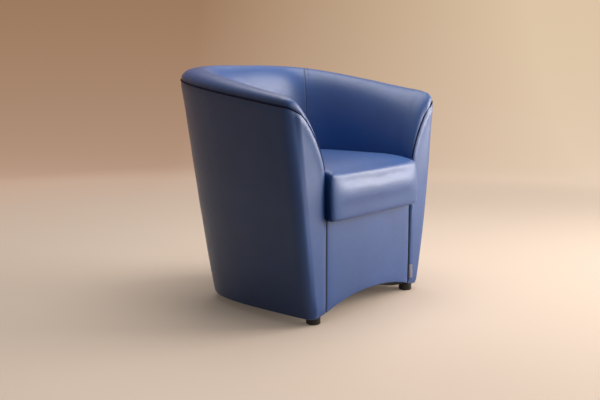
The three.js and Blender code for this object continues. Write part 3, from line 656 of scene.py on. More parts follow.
@dataclass(frozen=True)
class Lamp:
    """A square soft light at a place, aimed at a point."""

    name: str
    place: tuple[float, float, float]
    aim: tuple[float, float, float]
    size: float
    watts: float
    colour: tuple[float, float, float]

    def build(self) -> None:
        """Adds the light."""
        data = bpy.data.lights.new(self.name, "AREA")
        data.size = self.size
        data.energy = self.watts
        data.color = self.colour
        lamp = bpy.data.objects.new(self.name, data)
        lamp.location = self.place
        lamp.rotation_euler = (Vector(self.place) - Vector(self.aim)).to_track_quat("Z", "Y").to_euler()
        bpy.context.scene.collection.objects.link(lamp)


@dataclass(frozen=True)
class Studio:
    """The camera at the photograph's angle, a plain pale floor and soft light."""

    azimuth: float = np.radians(-50.52)
    elevation: float = np.radians(8.99)
    distance: float = 2.106
    focal_pixels: float = 820.0
    picture_width: float = 600.0
    sensor_width: float = 36.0
    target_x: float = -0.3205
    target_z: float = 0.3553
    key: Lamp = Lamp("key", (1.9, -1.75, 1.1), (0.0, -0.25, 0.35), 1.7, 82.0, (1.0, 0.95, 0.92))
    fill: Lamp = Lamp("fill", (0.2, -2.6, 1.2), (0.0, -0.25, 0.4), 1.2, 12.0, (1.0, 0.97, 0.95))
    overhead: Lamp = Lamp("overhead", (0.35, 0.1, 2.6), (0.0, -0.05, 0.4), 2.0, 46.0, (1.0, 0.98, 0.96))
    air_colour: tuple[float, float, float, float] = (0.9, 0.95, 1.0, 1.0)
    air_strength: float = 0.08
    seen_air: tuple[int, int, int] = (184, 158, 134)
    floor_half_size: float = 9.0
    floor_steps: tuple[int, int] = (40, 60)
    rise_start: float = 3.0
    rise_rate: float = 0.35
    floor_tones: tuple[tuple[int, int, int], ...] = ((226, 205, 186), (231, 211, 193))
    floor_shade: tuple[int, int, int] = (96, 86, 78)
    near_glow: tuple[int, int, int] = (228, 208, 190)
    left_glow: tuple[tuple[int, int, int], ...] = ((188, 157, 136), (156, 122, 95))
    right_glow: tuple[tuple[int, int, int], ...] = ((230, 207, 184), (221, 196, 166))
    glow_across: tuple[float, float] = (-0.9, 2.0)
    glow_away: tuple[float, float] = (2.6, 4.9)
    glow_from_chair: tuple[float, float] = (0.9, 3.4)
    glow_strength: tuple[float, float] = (-0.1, 3.0)

    def level_ways(self) -> tuple[Array, Array]:
        """The picture's level ways, (2,): to the camera and to the right."""
        near = np.array([np.sin(self.azimuth), -np.cos(self.azimuth)])
        return near, np.array([-near[1], near[0]])

    def camera(self) -> None:
        """Places the camera round the target, by its azimuth from the front and its elevation."""
        back = np.append(self.level_ways()[0] * np.cos(self.elevation), np.sin(self.elevation))
        target = np.array([self.target_x, FRONT_FACE_Y, self.target_z])
        data = bpy.data.cameras.new("photo_camera")
        data.sensor_width = self.sensor_width
        data.lens = self.sensor_width * self.focal_pixels / self.picture_width
        camera = bpy.data.objects.new("photo_camera", data)
        camera.location = target + back * self.distance
        camera.rotation_euler = Vector(back).to_track_quat("Z", "Y").to_euler()
        bpy.context.scene.collection.objects.link(camera)
        bpy.context.scene.camera = camera

    def air(self) -> None:
        """Fills the world with weak cool light, where the camera and the reflections see a plain brown."""
        g = Graph(bpy.data.worlds.new("studio_air"), "Background")
        g.wire(g.shader, {"Color": self.air_colour, "Strength": self.air_strength})
        shown = g.add("Background", {"Color": linear(*self.seen_air)})
        mixed = g.add("MixShader", {0: g.seen(), 1: g.shader.outputs[0], 2: shown.outputs[0]})
        g.wire(g.tree.nodes["World Output"], {"Surface": mixed.outputs[0]})
        bpy.context.scene.world = g.owner

    def floor(self) -> None:
        """A wide floor that curves up into a backdrop far behind the chair, seen from the camera."""
        across, run = (np.linspace(-self.floor_half_size, self.floor_half_size, steps) for steps in self.floor_steps)
        rise = np.where(run > self.rise_start, (run - self.rise_start) ** 2 * self.rise_rate, 0.0)
        near, side = self.level_ways()
        ground = across[:, None, None] * side - run[None, :, None] * near
        height = np.broadcast_to(rise[None, :, None], (*ground.shape[:2], 1))
        grid = np.concatenate([ground, height], axis=-1)
        sheet = Surface(grid.reshape(-1, 3), grid_faces(*self.floor_steps))
        piece = sheet.mesh("floor", self.floor_finish(side, -near))

    def floor_finish(self, across: Array, away: Array) -> bpy.types.Material:
        """Pale floor that turns into a glowing backdrop: brown on the left and pale on the right.

        The camera and the reflections see the glow and the pale floor; the light on the chair comes from a darker one,
        as if the floor beside it were in shade.

        Args:
            across: The floor's way to the right in the picture, (2,).
            away: The floor's way from the camera, (2,).

        Returns:
            The material.
        """
        g = Graph(bpy.data.materials.new("pale_floor"))
        at = g.place()
        way = [g.add("VectorMath", {0: at, 1: (*axis.tolist(), 0.0)}, operation="DOT_PRODUCT").outputs["Value"]
               for axis in (across, away)]
        level = g.add("VectorMath", {0: at, 1: (1.0, 1.0, 0.0)}, operation="MULTIPLY").outputs["Vector"]
        distance = g.add("VectorMath", {0: level}, operation="LENGTH").outputs["Value"]
        upwards = g.mapped(way[1], *self.glow_away)
        sides = (g.blended(upwards, *ends) for ends in (self.left_glow, self.right_glow))
        glow = g.blended(g.mapped(way[0], *self.glow_across), *sides)
        glow = g.blended(g.mapped(distance, *self.glow_from_chair), self.near_glow, glow)
        seen = g.seen()
        glowing = g.maths("MULTIPLY", seen, g.mapped(distance, *self.glow_strength))
        tone = g.blended(seen, self.floor_shade, g.blended(g.noise(1.2, 2, 0.5), *self.floor_tones))
        tone = g.blended(glowing, tone, (0, 0, 0))
        g.wire(g.shader, {"Base Color": tone, "Roughness": 0.75, "Specular IOR Level": 0.1, "Emission Color": glow,
                          "Emission Strength": glowing})
        return g.owner

    def build(self) -> None:
        """Sets up the camera, the light and the floor."""
        self.camera()
        for lamp in (self.key, self.fill, self.overhead):
            lamp.build()
        self.air()
        self.floor()
        bpy.context.scene.view_settings.view_transform = "Standard"


# The padded wall


@dataclass
class Stations:
    """Places along the horseshoe wall, one row of each array a station.

    Attributes:
        rim: Points on the rim, (count, 3).
        base: Points on the lower edge, (count, 3).
        inward: Level ways into the wall, (count, 3).
        across: Ways in which the inner face leaves the rim, (count, 3).
        reach: Distances from the rim to the foot of the inner face.
        edge: How full the padding is round the arm front, from 0 to 1.
        growth: How far the roll has grown towards the back, from 0 to 1.
        swell: Heights of the outer face's bulge.
    """

    rim: Array
    base: Array
    inward: Array
    across: Array
    reach: Array
    edge: Array
    growth: Array
    swell: Array

    def __add__(self, other: "Stations") -> "Stations":
        """The stations of both, in order."""
        names = [item.name for item in fields(self)]
        return Stations(*(np.concatenate([getattr(self, name), getattr(other, name)]) for name in names))


@dataclass(frozen=True)
class Wall:
    """The horseshoe of arms and back: its lines in plan, its rim and the section of its padding."""

    front_radius: float = 34 * MM
    base_front_radius: float = 22 * MM
    base_half_width: float = 272 * MM
    base_reach: float = 435 * MM
    rim_half_width: float = 356 * MM
    rim_reach: float = 498 * MM
    inner_half_width: float = 216 * MM
    inner_reach: float = 376 * MM
    base_squareness: float = 4.2
    rim_squareness: float = 4.2
    inner_squareness: float = 4.4
    bottom: float = 18.6 * MM
    rim_front_height: float = 594 * MM
    rim_back_height: float = 665 * MM
    corner_drop: float = 19 * MM
    tuck: float = 2 * MM
    tuck_length: float = 120 * MM
    edge_roll: float = 55 * MM
    crest_inset: tuple[float, float] = (22 * MM, 60 * MM)
    crest_rise: tuple[float, float] = (23 * MM, 34.5 * MM)
    foot_height: float = 420 * MM
    foot_flare: float = 4 * MM
    seat_underside: float = 283.4 * MM
    power_edge: float = 1.33
    power: tuple[float, float] = (1.7, 2.0)
    bulge: float = 10 * MM
    corner_bulge: float = 3.5 * MM
    bulge_power: float = 0.5
    strip_bulge: float = 4 * MM
    seam_angle: float = np.pi * 11 / 40 + 0.08 * np.sin(np.pi * 11 / 10) + 0.02
    seam_gap: float = 0.0001
    soft_from: float = 250 * MM
    soft_inner: float = 235 * MM
    soft_length: float = 120 * MM
    softness: tuple[float, float] = (1.5 * MM, 9 * MM)

    def horseshoe(self, angle: Array, half_width: float, reach: float, squareness: float) -> Array:
        """A superellipse in plan, whose middle lies behind the front by the corner's radius."""
        across, along = superellipse(angle, half_width, reach, squareness)
        return np.stack([across, self.front_radius + along], axis=-1)

    def rim_height(self, y: Array) -> Array:
        """The rim rises evenly from the front to the back."""
        share = (y - self.front_radius) / self.rim_reach
        return self.rim_front_height + share * (self.rim_back_height - self.rim_front_height)

    def growth_at(self, y: Array) -> Array:
        """The roll grows towards the back as the sine of the share of the way."""
        return np.sin(QUARTER_TURN * np.maximum(0, (y - self.front_radius) / self.rim_reach))

    def tuck_at(self, y: Array) -> Array:
        """The base draws in by the square of the distance left to the tuck's end."""
        return self.tuck * np.maximum(0, 1 - y / self.tuck_length) ** 2

    def wall_stations(self, angles: Array) -> Stations:
        """Stations round the arms and back, angle 0 at the right arm front."""
        rim = self.horseshoe(angles, self.rim_half_width, self.rim_reach, self.rim_squareness)
        base = self.horseshoe(angles, self.base_half_width, self.base_reach, self.base_squareness)
        foot = self.horseshoe(angles, self.inner_half_width, self.inner_reach, self.inner_squareness)
        base[:, 0] -= np.sign(base[:, 0]) * self.tuck_at(base[:, 1])
        corner_share = np.sin(2 * angles) ** 4
        inward = np.append(unit(foot - rim), np.zeros((len(angles), 1)), axis=1)
        return Stations(
            rim=np.append(rim, self.rim_height(rim[:, 1])[:, None], axis=1),
            base=np.append(base, np.full((len(angles), 1), self.bottom), axis=1),
            inward=inward,
            across=inward,
            reach=np.linalg.norm(foot - rim, axis=1),
            edge=quarter_round(rim[:, 1] / self.edge_roll),
            growth=self.growth_at(rim[:, 1]),
            swell=between((self.bulge, self.corner_bulge), corner_share),
        )

    def corner_stations(self, turns: Array) -> Stations:
        """Stations round the right arm's front corner: turn 0 faces the front, a quarter turn the side."""
        back_off = self.front_radius * (1 - np.sin(turns))
        y = self.front_radius * (1 - np.cos(turns))
        edge = quarter_round(y / self.edge_roll)
        base_y = self.base_front_radius * (1 - np.cos(turns))
        rim_x = self.rim_half_width - back_off
        base_x = self.base_half_width - self.tuck_at(base_y) - self.base_front_radius * (1 - np.sin(turns))
        foot_x = self.inner_half_width + self.foot_flare * (1 - edge)
        rim_z = self.rim_front_height - self.corner_drop * (1 - np.sin(turns))
        flat = np.zeros_like(turns)
        return Stations(
            rim=np.stack([rim_x, y, rim_z], axis=-1),
            base=np.stack([base_x, base_y, flat + self.bottom], axis=-1),
            inward=np.stack([-np.sin(turns), np.cos(turns), flat], axis=-1),
            across=np.stack([flat - 1, flat, flat], axis=-1),
            reach=rim_x - foot_x,
            edge=edge,
            growth=flat,
            swell=self.strip_bulge + (self.bulge - self.strip_bulge) * np.sin(turns),
        )

    def arm(self, corner_turns: Array, steps: int) -> Stations:
        """Stations from the right arm's front corner to the rear seam."""
        side = self.wall_stations(dense_end(0, self.seam_angle - self.seam_gap, steps))
        return self.corner_stations(corner_turns) + side

    def back(self, steps: int) -> Stations:
        """Stations of the back, from seam to seam."""
        start = self.seam_angle + self.seam_gap
        return self.wall_stations(dense_ends(start, np.pi - start, steps))

    def section(self, stations: Stations, samples: int = 60) -> Array:
        """The inner face's section at each station: distance inwards of the rim, and height.

        A quarter ellipse rises from the rim to the crest. The face then falls from the crest to its foot as a
        quarter superellipse, and drops straight to the seat's underside.

        Args:
            stations: The stations.
            samples: Points on each of the two quarters.

        Returns:
            Points, (stations, 2 * samples + 1, 2).
        """
        turn = np.linspace(0, QUARTER_TURN, samples)[None, :]
        growth, edge = stations.growth[:, None], stations.edge[:, None]
        crest = between(self.crest_inset, growth) * edge
        rise = between(self.crest_rise, growth) * edge
        rim_z = stations.rim[:, 2:3]
        reach = stations.reach[:, None]
        power = between((self.power_edge, between(self.power, growth)), edge)
        roll = np.stack([crest * (1 - np.cos(turn)), rim_z + rise * np.sin(turn)], axis=-1)
        fall = rim_z + rise - self.foot_height
        face = np.stack([
            crest + (reach - crest) * np.sin(turn) ** (2 / power),
            self.foot_height + fall * np.clip(np.cos(turn), 0, 1) ** (2 / power),
        ], axis=-1)
        end = np.stack([reach, np.full_like(reach, self.seat_underside)], axis=-1)
        return np.concatenate([roll, face, end], axis=1)

    def inner_grid(self, stations: Stations, shares: Array) -> Array:
        """The inner face as a grid, (stations, shares, 3)."""
        section = resampled(self.section(stations), shares)
        grid = stations.rim[:, None] + stations.across[:, None] * section[..., :1]
        grid[..., 2] = section[..., 1]
        return grid

    def arm_front_line(self, shares: Array) -> Array:
        """The line down the right arm front where the inner and outer covers meet, (shares, 3)."""
        return self.inner_grid(self.corner_stations(np.zeros(1)), shares)[0]

    def softened(self, points: Array) -> Array:
        """Draws the upper front corners of the arms inwards and back, which makes them rounder than the lower ones.

        The move is a length, which each side has its own of, times three shares: a smooth one grows up the wall, a
        smooth one grows outwards across the arm, and the square of what is left falls to nothing behind the front.
        The move back falls off in half the length, because the boards inside stand there.

        Args:
            points: Points in space, (..., 3), with the front face at y = 0.

        Returns:
            The moved points.
        """
        x, y, z = np.moveaxis(points, -1, 0)
        up = smooth((z - self.soft_from) / (self.rim_front_height - self.soft_from))
        out = smooth((np.abs(x) - self.soft_inner) / (self.rim_half_width - self.soft_inner))
        most = np.where(x > 0, *self.softness) * up * out
        inwards = most * np.clip(1 - y / self.soft_length, 0, 1) ** 2
        back = most * np.clip(1 - 2 * y / self.soft_length, 0, 1) ** 2
        return points + np.stack([-np.sign(x) * inwards, back, 0 * back], axis=-1)

    def profile(self, share: Array) -> Array:
        """How far the padded outer face stands out at a share of its height: a blunt sine."""
        return np.clip(np.sin(np.pi * share), 0, 1) ** self.bulge_power


def crowded(even: Array, share: float = 0.08) -> Array:
    """Even angles moved towards the nearest rounded corner."""
    return even + share * np.sin(4 * even)


def dense_end(start: float, end: float, count: int) -> Array:
    """Numbers from start to end that grow closer together towards the end, as a power of what is left."""
    return end + (start - end) * np.linspace(1, 0, count) ** 1.8


def dense_ends(start: float, end: float, count: int) -> Array:
    """Numbers from start to end that are closer together at both: the even share less a full sine."""
    even = np.linspace(0, 1, count)
    return start + (end - start) * (even - 0.96 * np.sin(FULL_TURN * even) / FULL_TURN)


@dataclass(frozen=True)
class StitchRow:
    """A row of stitches that lie in a cover beside a seam."""

    finish: bpy.types.Material
    pitch: float = 4.6 * MM
    length: float = 3.1 * MM
    radius: float = 0.5 * MM
    sides: int = 6

    def surface(self, path: Array, normals: Array) -> Surface:
        """Lays the stitches along a path.

        A stitch is a thin spindle: rings of six points round a straight axis, whose radius is a half ellipse of the
        share of its length, and whose axis dips into the cover at both ends.

        Args:
            path: Points on the cover, (count, 3).
            normals: Ways out of the cover at them, (count, 3).

        Returns:
            All the stitches of the row as one surface.
        """
        count = int(path_lengths(path)[-1] / self.pitch)
        shares = (np.arange(count) + 0.5) / count
        both = resampled(np.concatenate([path, unit(normals)], axis=-1)[None], shares)[0]
        middle, out = both[:, :3], unit(both[:, 3:])
        way = unit(np.gradient(middle, axis=0))
        share = np.linspace(-1, 1, 5)
        thick = self.radius * np.sqrt(np.maximum(0.03, 1 - share ** 2))
        lift = self.radius * (0.5 - 1.1 * share ** 2)
        along = way[:, None] * (share * self.length / 2)[None, :, None]
        axis = middle[:, None] + along + out[:, None] * lift[None, :, None]
        ring = turns_about(np.cross(way, out), out, self.sides)
        points = axis[:, :, None] + ring[:, None] * thick[None, :, None, None]
        first = np.arange(count)[:, None, None] * len(share) * self.sides
        return Surface(points.reshape(-1, 3), (ring_faces(len(share), self.sides)[None] + first).reshape(-1, 4))

    def beside(self, name: str, columns: Array, distance: float) -> None:
        """Sews a row at a distance from the last column of a face, and lays it on the chair.

        Args:
            name: Name of the row.
            columns: The face, (columns, rows, 3), whose last column lies on the seam.
            distance: From the seam to the stitches.
        """
        across = np.moveaxis(columns, 0, 1)[:, ::-1]
        near = np.full((len(across), 1), distance)
        path, ahead = (walked_to(across, near + step)[:, 0] for step in (0.0, 1 * MM))
        normals = unit(np.cross(np.gradient(path, axis=0), ahead - path))
        facing = np.sign((normals * grid_normals(columns)[-1]).sum())
        low, high = int(len(path) * 0.05), int(len(path) * 0.97)
        surface = self.surface(path[low:high], normals[low:high] * facing)
        place(surface.mesh(name, self.finish), "leatherette")


@dataclass(frozen=True)
class InnerPadding:
    """The padded inner faces of both arms and the back, which roll over the rim to the piping."""

    wall: Wall
    finish: bpy.types.Material
    stitches: StitchRow
    rows: int = 96
    corner_steps: int = 26
    arm_steps: int = 110
    back_steps: int = 170
    pinch: float = 1.8 * MM
    pinch_width: float = 6 * MM
    puff: float = 2.2 * MM
    puff_place: float = 24 * MM
    pucker: float = 0.7 * MM
    pucker_reach: float = 26 * MM
    groove: float = 1.0 * MM
    groove_width: float = 1.4 * MM
    stitch_distance: float = 12 * MM
    sewn_columns: int = 40
    rim_waves: tuple[float, ...] = (0.021, 0.034, 0.057)
    upright_waves: tuple[float, ...] = (0.019, 0.031, 0.05)
    swell: float = 0.9 * MM
    swell_pitch: float = 0.16
    swell_start: float = 0.05
    depth: float = 30 * MM
    least_depth: float = 3 * MM
    depth_run: float = 0.06
    row_crowding: float = 1.25

    def seam_distances(self, grid: Array, seams: tuple[bool, bool]) -> tuple[Array, Array]:
        """Distances of each point from the rim seam and from the nearest upright seam.

        Args:
            grid: The face, (columns, rows, 3).
            seams: Whether the first and the last column lie on an upright seam.

        Returns:
            Two arrays, (columns, rows).
        """
        along = walked_along(grid)
        far = np.full_like(along, NO_SEAM)
        first = along if seams[0] else far
        last = along[-1:] - along if seams[1] else far
        return path_lengths(grid), np.minimum(first, last)

    def dressed(self, grid: Array, seams: tuple[bool, bool], seed: int) -> tuple[Array, Array]:
        """Draws the face in at its seams, with small puckers beside them and slow swells between.

        Args:
            grid: The face, (columns, rows, 3).
            seams: Whether the first and the last column lie on an upright seam.
            seed: Chooses the puckers and swells.

        Returns:
            The moved face, and each point's distance from the nearest seam.
        """
        from_rim, from_upright = self.seam_distances(grid, seams)
        normals = grid_normals(grid)
        sign = np.sign((normals[..., 2]).sum())
        drawn = self.pinch * hump(from_rim, self.pinch_width)
        drawn -= self.puff * hump(from_rim - self.puff_place, self.puff_place)
        drawn += self.groove * hump(from_upright, self.groove_width)
        puckers = self.pucker * np.exp(-from_rim / self.pucker_reach)
        puckers *= ripple(walked_along(grid)[:, :1], self.rim_waves, seed)
        upright = ripple(from_rim, self.upright_waves, seed + 1)
        puckers += 0.5 * self.pucker * np.exp(-from_upright / self.pucker_reach) * upright
        swell = soft_swell(grid, self.swell, self.swell_pitch, seed + 2) * smooth(from_rim / self.swell_start)
        moved = grid + sign * normals * (puckers + swell - drawn)[..., None]
        return moved, np.minimum(from_rim, from_upright)

    def piece(self, name: str, grid: Array, seams: tuple[bool, bool], seed: int, *nodes: str) -> bpy.types.Object:
        """Makes one padded piece from its face, and lays it on the chair."""
        face, from_seam = self.dressed(grid, seams, seed)
        face, grid = self.wall.softened(face), self.wall.softened(grid)
        normals = grid_normals(grid)
        sign = np.sign((normals[..., 2]).sum())
        inset = self.depth * smooth(path_lengths(grid) / self.depth_run)[..., None] + self.least_depth
        face, rear = in_place(face), in_place(face - sign * normals * inset)
        if sign < 0:
            face, rear, from_seam = face[::-1], rear[::-1], from_seam[::-1]
        piece = shell(face, rear, from_seam).mesh(name, self.finish)
        return place(piece, "leatherette", *nodes, fill=0.85)

    def build(self) -> None:
        """Makes the two arms and the back."""
        wall = self.wall
        shares = np.linspace(0, 1, self.rows) ** self.row_crowding
        arm = wall.arm(np.linspace(0, QUARTER_TURN, self.corner_steps, endpoint=False), self.arm_steps)
        right = wall.inner_grid(arm, shares)
        self.piece("inner_right_arm", right, (False, True), 11, "inner_right_arm_cover", "inner_right_arm_foam")
        self.piece("inner_left_arm", (right * MIRROR)[::-1], (True, False), 23, "inner_left_arm_cover",
                   "inner_left_arm_foam")
        sewn = in_place(right[-self.sewn_columns:])
        for side in Side:
            self.stitches.beside(f"inner_{side.word}_stitches", sewn * np.array([side.value, 1, 1]),
                                 self.stitch_distance)
        back = wall.inner_grid(wall.back(self.back_steps), shares)
        self.piece("inner_back", back, (True, True), 37, "inner_back_cover", "inner_back_foam")


@dataclass(frozen=True)
class OuterPadding:
    """The outer covers over their wadding: they wrap round the arm fronts and turn under at the base."""

    wall: Wall
    finish: bpy.types.Material
    rows: int = 90
    strip_steps: int = 36
    corner_steps: int = 22
    arm_steps: int = 110
    back_steps: int = 170
    thickness: float = 7 * MM
    seam_round: float = 20 * MM
    base_round: float = 7 * MM
    lift: float = 6 * MM
    panel_half_width: float = 210.8 * MM
    groove: float = 1.2 * MM
    groove_width: float = 2.2 * MM
    puff: float = 2.4 * MM
    puff_place: float = 16 * MM
    puff_start: float = 0.02
    pucker: float = 0.55 * MM
    pucker_reach: float = 0.02
    waves: tuple[float, ...] = (0.019, 0.033, 0.051)
    swell: float = 0.8 * MM
    swell_pitch: float = 0.19
    swell_start: float = 0.04
    flange: float = 15 * MM
    flange_turn: tuple[float, float] = (-1.4 * MM, -1.1 * MM)
    turned_under: float = 14 * MM
    lift_run: float = 0.1
    rear_lift: float = 3 * MM
    fan_crowding: float = 1.3
    row_crowding: float = 0.06
    strip_start: float = 0.06
    ease_columns: int = 8

    def strip(self, shares: Array) -> tuple[Array, Array]:
        """The flat strip of the right arm front, as columns from the panel seam to the corner.

        Each column runs from the strip's lower edge to a point on the arm front line. Below the seat's underside the
        columns keep an even spacing, and above it they fan out to the line.

        Args:
            shares: Shares of a column's height, from the base up.

        Returns:
            The grid, (columns, shares, 3), and each point's distance from the piping or panel seam.
        """
        wall = self.wall
        columns = self.strip_steps
        step = np.linspace(0, 1, columns)
        line = wall.arm_front_line((1 - step[1:]) ** self.fan_crowding)
        tops = np.concatenate([[[self.panel_half_width, 0, wall.seat_underside]], line])
        corner = wall.corner_stations(np.zeros(1))
        height = (wall.seat_underside - corner.base[0, 2]) / (corner.rim[0, 2] - corner.base[0, 2])
        corner_waist = corner.base[0] + height * (corner.rim[0] - corner.base[0])
        waist = tops[1] + (step[:, None] * columns - 1) / (columns - 1) * (corner_waist - tops[1])
        waist[0] = tops[0]
        base_x = self.panel_half_width + step * (corner.base[0, 0] - self.panel_half_width)
        base = np.stack([base_x, 0 * step, wall.bottom + self.lift * (1 - step)], axis=-1)
        tops_z = tops[:, 2:3]
        z = base[:, 2:3] + shares[None, :] * (tops_z - base[:, 2:3])
        low = np.clip((z - base[:, 2:3]) / (waist[:, 2:3] - base[:, 2:3]), 0, 1)
        high = np.clip((z - waist[:, 2:3]) / np.maximum(tops_z - waist[:, 2:3], 1e-6), 0, 1)
        x = base[:, :1] + low * (waist[:, :1] - base[:, :1]) + high * (tops[:, :1] - waist[:, :1])
        grid = np.stack([x, np.zeros_like(x), z], axis=-1)
        line_all = wall.arm_front_line(np.linspace(0, 1, 160))[None, None, :, :]
        from_line = np.linalg.norm(grid[:, :, None, :] - line_all, axis=-1).min(-1)
        from_panel = x - self.panel_half_width
        return grid, np.minimum(from_line, np.where(z < wall.seat_underside, from_panel, NO_SEAM))

    def side(self, stations: Stations, shares: Array) -> Array:
        """The face from base to rim at each station, before its bulge, (stations, shares, 3)."""
        return stations.base[:, None] + shares[None, :, None] * (stations.rim - stations.base)[:, None]

    def curled(self, grid: Array, inward: Array) -> Array:
        """Adds rows below the face that turn under the base: a quarter circle, then a short way inwards.

        Args:
            grid: The face, (columns, rows, 3), whose first row is the lower edge.
            inward: Way into the wall of each column, (columns, 3).

        Returns:
            The face with its turned-under rows first.
        """
        turn = np.linspace(QUARTER_TURN, 0, 7)[:-1]
        drop = np.concatenate([[1.0], np.sin(turn)]) * self.base_round
        run = np.concatenate([[self.base_round + self.turned_under], self.base_round * (1 - np.cos(turn))])
        below = grid[:, :1] + inward[:, None] * run[None, :, None]
        below[..., 2] -= drop[None, :] - self.base_round
        raised = grid.copy()
        share = np.clip(1 - (grid[..., 2] - grid[:, :1, 2]) / self.lift_run, 0, 1)
        raised[..., 2] += self.base_round * share
        return np.concatenate([below, raised], axis=1)

    def piece(self, name: str, grid: Array, inward: Array, out: Array, from_seam: Array, seed: int,
              *nodes: str) -> bpy.types.Object:
        """Makes one padded piece from its face and its bulge, and lays it on the chair."""
        down = walked_back(grid)
        puckers = self.pucker * np.exp(-down / self.pucker_reach) * ripple(walked_along(grid), self.waves, seed)
        swell = soft_swell(grid, self.swell, self.swell_pitch, seed + 1) * quarter_round(from_seam / self.swell_start)
        puff = self.puff * down / self.puff_place * np.exp(1 - down / self.puff_place)
        pushed = out + puckers + swell + puff * quarter_round(from_seam / self.puff_start)
        face = self.curled(self.wall.softened(grid - inward[:, None] * pushed[..., None]), inward)
        rear = self.curled(self.wall.softened(grid), inward) + inward[:, None] * self.thickness
        rows_added = face.shape[1] - grid.shape[1]
        rear[:, :rows_added, 2] = face[:, :rows_added, 2] + self.rear_lift
        seams = np.concatenate([np.ones((len(grid), rows_added)), from_seam], axis=1)
        face, rear = in_place(face), in_place(rear)
        middle = face.reshape(-1, 3).mean(0) * np.array([1, 1, 0])
        outward = np.sign((grid_normals(face) * (face - middle)).sum())
        if outward < 0:
            face, rear, seams = face[::-1], rear[::-1], seams[::-1]
        piece = shell(face, rear, seams).mesh(name, self.finish)
        return place(piece, "leatherette", *nodes, fill=0.9)

    def build(self) -> None:
        """Makes the two arms with their fronts, and the back."""
        wall = self.wall
        shares = np.linspace(0, 1, self.rows)
        shares = shares + self.row_crowding * np.sin(FULL_TURN * shares) / FULL_TURN
        strip, from_line = self.strip(shares)
        arm = wall.arm(np.linspace(0, QUARTER_TURN, self.corner_steps, endpoint=False)[1:], self.arm_steps)
        grid = np.concatenate([strip, self.side(arm, shares)])
        inward = np.concatenate([np.tile([0.0, 1.0, 0.0], (len(strip), 1)), arm.inward])
        height_share = (strip[..., 2] - strip[:, :1, 2]) / (strip[-1, -1, 2] - strip[:, :1, 2])
        strip_out = wall.strip_bulge * quarter_round(from_line / self.seam_round)
        strip_out *= quarter_round(height_share / self.strip_start)
        side_out = arm.swell[:, None] * wall.profile(shares)[None, :]
        ease = smooth(np.arange(self.corner_steps) / self.ease_columns)[: len(side_out)]
        side_out[: len(ease)] += (1 - ease)[:, None] * (strip_out[-1:] - side_out[: len(ease)])
        out = np.concatenate([strip_out, side_out])
        far, near = self.flange_turn
        turned_in = grid[:1] + np.array([[far, self.flange, 0], [near, self.flange / 2, 0]])[:, None]
        grid = np.concatenate([turned_in, grid])
        inward = np.concatenate([np.tile([1.0, 0.0, 0.0], (2, 1)), inward])
        out = np.concatenate([0 * out[:2], out])
        # Painted shade: the two turned-in columns at the panel seam get a seam distance of 0, so they take the dark
        # seam colour as if in shade.
        from_line = np.concatenate([0 * from_line[:2], from_line])
        upright = walked_along(grid)
        from_upright = upright[-1:] - upright
        out = out - self.groove * hump(from_upright, self.groove_width)
        from_line = np.concatenate([from_line, NO_SEAM + 0 * side_out])
        from_seam = np.minimum(np.minimum(from_upright, walked_back(grid)), from_line)
        self.piece("outer_right_arm", grid, inward, out, from_seam, 41, "outer_right_arm_cover",
                   "outer_right_arm_wadding", "arm_front_pad_right")
        self.piece("outer_left_arm", grid * MIRROR, inward * MIRROR, out, from_seam, 53, "outer_left_arm_cover",
                   "outer_left_arm_wadding", "arm_front_pad_left")
        back = wall.back(self.back_steps)
        grid = self.side(back, shares)
        across = walked_along(grid)
        from_upright = np.minimum(across, across[-1:] - across)
        out = back.swell[:, None] * wall.profile(shares)[None, :]
        out = out - self.groove * hump(from_upright, self.groove_width)
        self.piece("outer_back", grid, back.inward, out, np.minimum(from_upright, walked_back(grid)), 67,
                   "outer_back_cover", "outer_back_wadding")


@dataclass(frozen=True)
class Piping:
    """The welt along the rim and down both arm fronts."""

    wall: Wall
    finish: bpy.types.Material
    radius: float = 2.5 * MM
    stand_off: float = 0.4 * MM
    front_share: float = 0.58
    towards: tuple[float, float] = (0.205, 0.3)
    sides: int = 14

    def path(self) -> Array:
        """The centre line: up the right arm front, round the rim and down the left arm front."""
        wall = self.wall
        front = wall.arm_front_line(np.linspace(self.front_share, 0.004, 110))
        front = front - np.array([0, self.stand_off, 0])
        corner = wall.corner_stations(np.linspace(0, QUARTER_TURN, 30, endpoint=False))
        half = corner + wall.wall_stations(crowded(np.linspace(0, QUARTER_TURN, 160)))
        rim = half.rim - half.inward * self.stand_off
        right = np.concatenate([front, rim])
        left = (right * MIRROR)[-2::-1]
        return in_place(wall.softened(np.concatenate([right, left])))

    def build(self) -> None:
        """Makes the welt."""
        towards = np.array([0, FRONT_FACE_Y + self.towards[0], self.towards[1]])
        surface = tube(self.path(), self.radius, self.sides, towards)
        place(surface.mesh("piping_welt", self.finish), "piping_leatherette", "piping")


# The seat and the front panel


